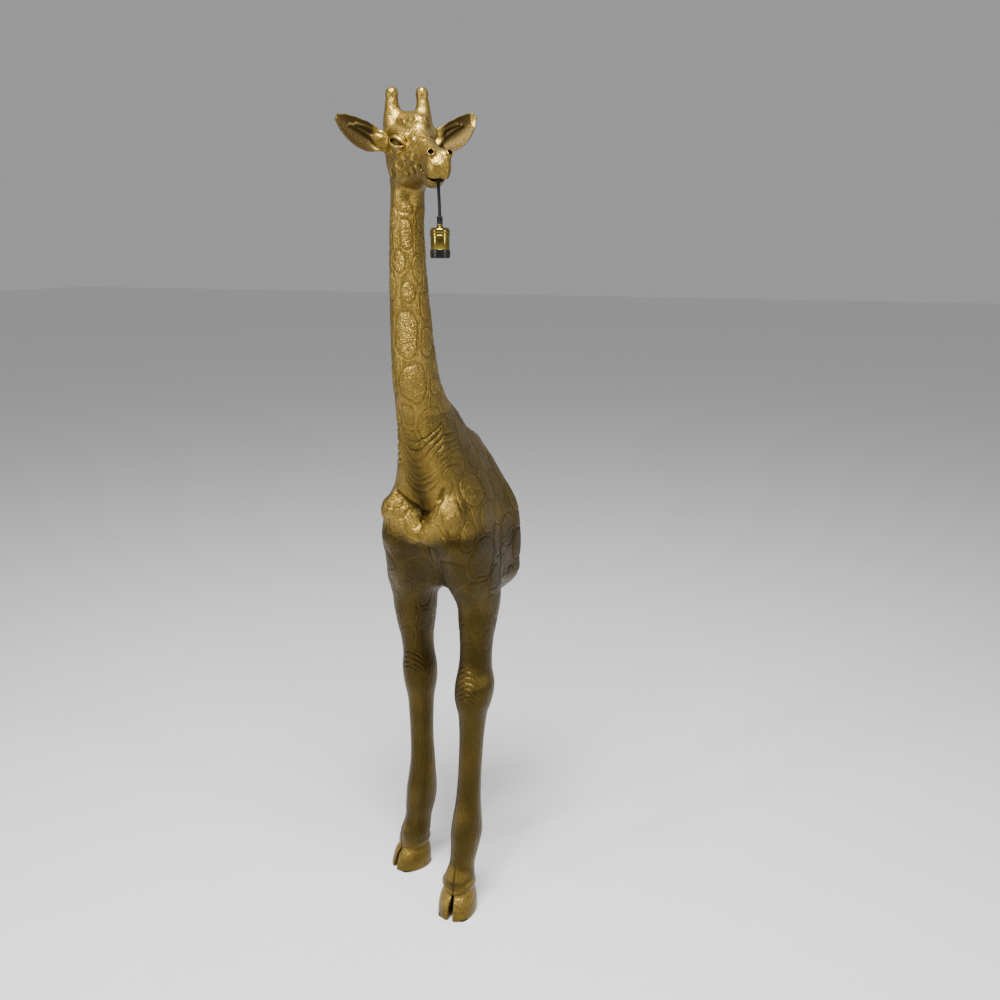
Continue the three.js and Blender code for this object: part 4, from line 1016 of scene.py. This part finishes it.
def gold_leaf():
    """Brushed-on gold over dark brown: bright on high skin, brown left in the grooves, with painted shade in
    the eyes and ear cups, and painted shade low down, at the throat, on faces turned down and on the left
    flank.
    """
    s = Shader("gold_leaf")
    groove_and_shade, coat, painted_shade, face = (s.attribute(name) for name in ("groove_and_shade", "coat", "painted_shade", "face"))
    cloudy = s.grain(14, 4)
    speckle = s.grain(420, 2)
    strands = s.grain(300, 2, s.stretched((1, 1, 0.1)))
    curls = s.add("TexVoronoi", {"Vector": s.place, "Scale": 260}, feature="DISTANCE_TO_EDGE")
    cells = s.ranged(curls.outputs["Distance"], 0, 0.3, 0, 1)
    bright = s.mixed(cloudy, (0.28, 0.182, 0.036), (0.42, 0.285, 0.064))
    flecks = s.times(speckle, s.ranged(s.grain(150, 3), 0.2, 1, 0.35, 0.95))
    worn = s.mixed(flecks, bright, (0.10, 0.062, 0.014))
    # painted shade: dark brown low down, at the throat, in the ear cups, on faces turned down and on the left
    # flank
    shade_mix = s.times(painted_shade, s.ranged(cloudy, 0, 1, 1, 0.9))
    shaded_gold = s.mixed(shade_mix, worn, (0.044, 0.029, 0.006))
    pits = s.times(coat, s.ranged(cells, 0, 0.5, 0.35, 0))
    # brown in the grooves and pits, and painted shade in the eyes and ear cups
    hollow_brown_and_shade = s.maths("MAXIMUM", s.times(groove_and_shade, 0.85), pits)
    colour = s.mixed(hollow_brown_and_shade, shaded_gold, (0.045, 0.028, 0.007))
    rough = s.maths("ADD", s.ranged(speckle, 0, 1, 0.30, 0.44), s.times(hollow_brown_and_shade, 0.25))
    hairy = s.times(s.ranged(coat, 0, 1, 1, 0.1), s.ranged(face, 0, 1, 1, 0.3))
    hair = s.times(strands, hairy)
    s.bump(s.maths("ADD", hair, s.times(cells, coat)), 0.0012, 0.7)
    s.bump(speckle, 0.0004, 0.7)
    return s.finish(colour, rough, s.ranged(hollow_brown_and_shade, 0, 1, 0.95, 0.86))


def polished_brass():
    s = Shader("polished_brass")
    haze = s.grain(60, 4)
    lines = s.grain(900, 2, s.stretched((0.15, 0.15, 1)))
    colour = s.mixed(haze, (0.18, 0.13, 0.022), (0.33, 0.25, 0.055))
    tarnish = s.mixed(s.ranged(s.grain(180, 5), 0.6, 1, 0, 0.5), colour, (0.20, 0.13, 0.04))
    s.bump(lines, 0.00006, 0.5)
    return s.finish(tarnish, s.ranged(haze, 0, 1, 0.12, 0.2), 1.0)


def plain_grain(name, dark, light, rough, metallic, scale, bump, stretch=(1, 1, 1), gloss=0.5):
    """A material whose colour and gloss vary a little with its grain."""
    s = Shader(name)
    grain = s.grain(scale, 4, s.stretched(stretch))
    patchy = s.grain(scale / 12, 3)
    colour = s.mixed(s.times(s.maths("ADD", grain, patchy), 0.5), dark, light)
    s.bump(grain, bump)
    return s.finish(colour, s.ranged(patchy, 0, 1, rough - 0.06, rough + 0.06), metallic, gloss)


def woven_flex():
    """Braided black yarn: two crossing sets of strands round the cable."""
    s = Shader("woven_flex")
    around = s.add("TexCoord").outputs["UV"]
    strands = []
    for turn in (1, -1):
        inputs = {"Vector": around, "Scale": (34, 12, 1), "Rotation": (0, 0, turn * math.radians(45))}
        crossed = s.add("Mapping", inputs).outputs["Vector"]
        strands.append(s.add("TexWave", {"Vector": crossed, "Scale": 0.5}).outputs["Fac"])
    braid = s.maths("MAXIMUM", *strands)
    fuzz = s.grain(1600, 3)
    colour = s.mixed(braid, (0.002, 0.002, 0.002), (0.012, 0.012, 0.013))
    s.bump(braid, 0.0005, 0.8)
    s.bump(fuzz, 0.0002, 0.5)
    return s.finish(colour, s.ranged(fuzz, 0, 1, 0.62, 0.85), 0, 0.15)


BLACK = plain_grain(
    "black_plastic", (0.005, 0.005, 0.005), (0.010, 0.009, 0.008), 0.26, 0, 700, 0.00008, gloss=0.3
)
STEEL_DARK, STEEL_LIGHT = (0.42, 0.43, 0.44), (0.62, 0.62, 0.61)
BOARD_DARK, BOARD_LIGHT = (0.10, 0.062, 0.034), (0.20, 0.135, 0.08)
FINISHES = {
    "gold_resin": gold_leaf(),
    "antique_brass": polished_brass(),
    "black_plastic": BLACK,
    "black_flex": BLACK,  # inside the statue; the hanging flex is woven
    "steel": plain_grain("zinc_steel", STEEL_DARK, STEEL_LIGHT, 0.34, 1, 240, 0.0001, (1, 1, 0.2)),
    "board": plain_grain("dark_board", BOARD_DARK, BOARD_LIGHT, 0.6, 0, 160, 0.0004, (1, 1, 0.12)),
    "rubber": plain_grain("rubber", (0.014, 0.014, 0.014), (0.035, 0.034, 0.033), 0.75, 0, 500, 0.0002),
    "ceramic": plain_grain("ceramic", (0.72, 0.70, 0.65), (0.86, 0.84, 0.80), 0.22, 0, 260, 0.00008),
    "fibre": plain_grain("fibre", (0.16, 0.09, 0.05), (0.27, 0.17, 0.10), 0.7, 0, 400, 0.0002, (1, 1, 0.4)),
}
for piece in statue:
    piece.data.materials.append(FINISHES["gold_resin"])
for subpart in frame["record"]["subparts"]:
    materials = frame["nodes"][subpart["node"]].data.materials
    materials.clear()
    materials.append(FINISHES[subpart["material_slot"]])

# ---- lampholder ----
ROUND = 96  # points round a turned piece
RIB_HEIGHT = 0.35
HOLDER_AXIS = head_point(MOUTH_FORWARD, CORD_SHIFT, 0)
GRIP_TOP = MOUTH_Z - CORD_DROP


def spun(name, profile, body, node, finish, ribs=(0, 0, 0)):
    """A piece turned on the lampholder's axis, from radii and depths under the top of the grip.

    Ribs, given as their count and two depths, stand on the faces between those depths.
    """
    count, low, high = ribs
    angles = np.linspace(0, 2 * math.pi, ROUND, endpoint=False)
    radius, depth = np.array(profile, float).T[:, :, None]
    reach = radius + RIB_HEIGHT * np.cos(count * angles) * ((low < depth) & (depth < high))
    x, y = HOLDER_AXIS[0] + reach * np.cos(angles), HOLDER_AXIS[1] + reach * np.sin(angles)
    points = np.stack([x, y, GRIP_TOP - depth + 0 * angles], axis=-1).reshape(-1, 3)
    rings = len(profile)
    i, j = np.meshgrid(np.arange(rings), np.arange(ROUND), indexing="ij")
    up, on = (i + 1) % rings, (j + 1) % ROUND
    faces = np.stack([i * ROUND + j, i * ROUND + on, up * ROUND + on, up * ROUND + j], axis=-1)
    mesh = mesh_from(name, row(points), faces.reshape(-1, 4))
    mesh.set_sharp_from_angle(angle=math.radians(38))
    obj = linked(name, mesh)
    put_back(opened(mesh), mesh)
    mesh.materials.append(FINISHES[finish])
    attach(obj, body)
    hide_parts(node)
    return obj


def arc(centre, radii, start, end, count):
    """Points on an ellipse, by angle in degrees."""
    turns = np.radians(np.linspace(start, end, count))
    return [(centre[0] + radii[0] * math.cos(t), centre[1] - radii[1] * math.sin(t)) for t in turns]


grip = spun(
    "flex_grip",
    [
        (3.3, 1.2), (3.3, 9.5), (4.4, 9.5), (4.4, 15.3), (5.3, 15.3), (5.6, 14.9), (5.6, 14.2), (5.6, 13),
        (5.3, 12.6), (5.3, 4.2), (5.6, 3.8), (5.6, 1.6), *arc((4.6, 1.2), (1, 1), 0, 80, 5), (4.3, 0.15),
    ],
    "lampholder", "cord_grip", "black_plastic", (24, 4, 13),
)
spun(
    "brass_cap",
    [
        (4.4, 16), (4.4, 22), (10, 23), (15.6, 26), (18.5, 29.5), (18.5, 36.9), (19, 36.9), (19.3, 36.5),
        (19.3, 35.4), (18.9, 34.9), (18.9, 29.2), (19.2, 28.8), (19.2, 27.9), (18.9, 27.4),
        *arc((12.6, 27), (6.3, 5.8), 4, 84, 10), (8.2, 20.4), (6.4, 19.6), (6, 18.6), (6, 16.6), (5.7, 16),
    ],
    "lampholder", "holder_cap", "antique_brass",
)
spun(
    "brass_shell",
    [
        (17.2, 30), (17.2, 65.9), (18.1, 65.9), (18.2, 65.6), (18.2, 61), (17.9, 60.6), (18.2, 60.2),
        (18.2, 39), (18.2, 30),
    ],
    "lampholder", "holder_shell", "antique_brass",
)
spun(
    "black_ring",
    [
        (18.5, 62.1), (18.5, 67), (14.7, 67), (14.7, 76.4), (15.6, 77.4), (17.8, 77.4),
        *arc((17.6, 76), (1.2, 1.4), -88, -5, 5), (19.1, 68), (19.3, 66), (19.3, 63.2), (19, 62.4),
    ],
    "threaded_ring", "shade_ring", "black_plastic", (32, 66.5, 75),
)

# ---- cord ----
curve = bpy.data.curves.new("hanging_flex", "CURVE")
curve.dimensions = "3D"
curve.bevel_depth = 1  # times the radius at each point
curve.bevel_resolution = 6
curve.resolution_u = 12
spline = curve.splines.new("BEZIER")
route = [head_point(MOUTH_FORWARD, CORD_SHIFT * shift, MOUTH_Z - drop) for shift, drop in HANGING]
spline.bezier_points.add(len(route) - 1)
for knot, at in zip(spline.bezier_points, route):
    knot.co = row(at)
    knot.radius = FLEX_D / 2 * MM
    knot.handle_left_type = knot.handle_right_type = "AUTO"
flex = linked("hanging_flex", curve)
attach(flex, "hanging_cord")
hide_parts("pendant_cord")
curve.materials.append(woven_flex())

# ---- stage ----
floor_mesh = bpy.data.meshes.new("floor")
REACH = 30
corners = [(-REACH, -REACH, 0), (REACH, -REACH, 0), (REACH, REACH, 0), (-REACH, REACH, 0)]
floor_mesh.from_pydata(corners, [], [(0, 1, 2, 3)])
floor = linked("floor", floor_mesh)
pale = plain_grain("pale_floor", (0.86, 0.86, 0.85), (0.88, 0.88, 0.87), 0.8, 0, 60, 0.0001)
floor_mesh.materials.append(pale)


def area_light(name, at, aim, size, watts):
    data = bpy.data.lights.new(name, "AREA")
    data.shape = "RECTANGLE"
    data.size, data.size_y = size
    data.energy = watts
    light = linked(name, data)
    light.location = at
    light.rotation_euler = (Vector(aim) - Vector(at)).to_track_quat("-Z", "Y").to_euler()


area_light("overhead", (0.4, -1.1, 3.6), (0, 0, 1.2), (1.5, 1.1), 250)
area_light("front_left", (-1.7, -2.3, 1.75), (0, -0.1, 1.6), (0.2, 1.7), 34)
area_light("strip_right", (2.7, -0.5, 1.75), (0, -0.1, 1.6), (0.2, 1.7), 22)
world = bpy.data.worlds.new("studio")
bpy.context.scene.world = world
world.use_nodes = True
background = world.node_tree.nodes["Background"].inputs
background["Color"].default_value = (0.97, 0.98, 1, 1)
background["Strength"].default_value = 0.36
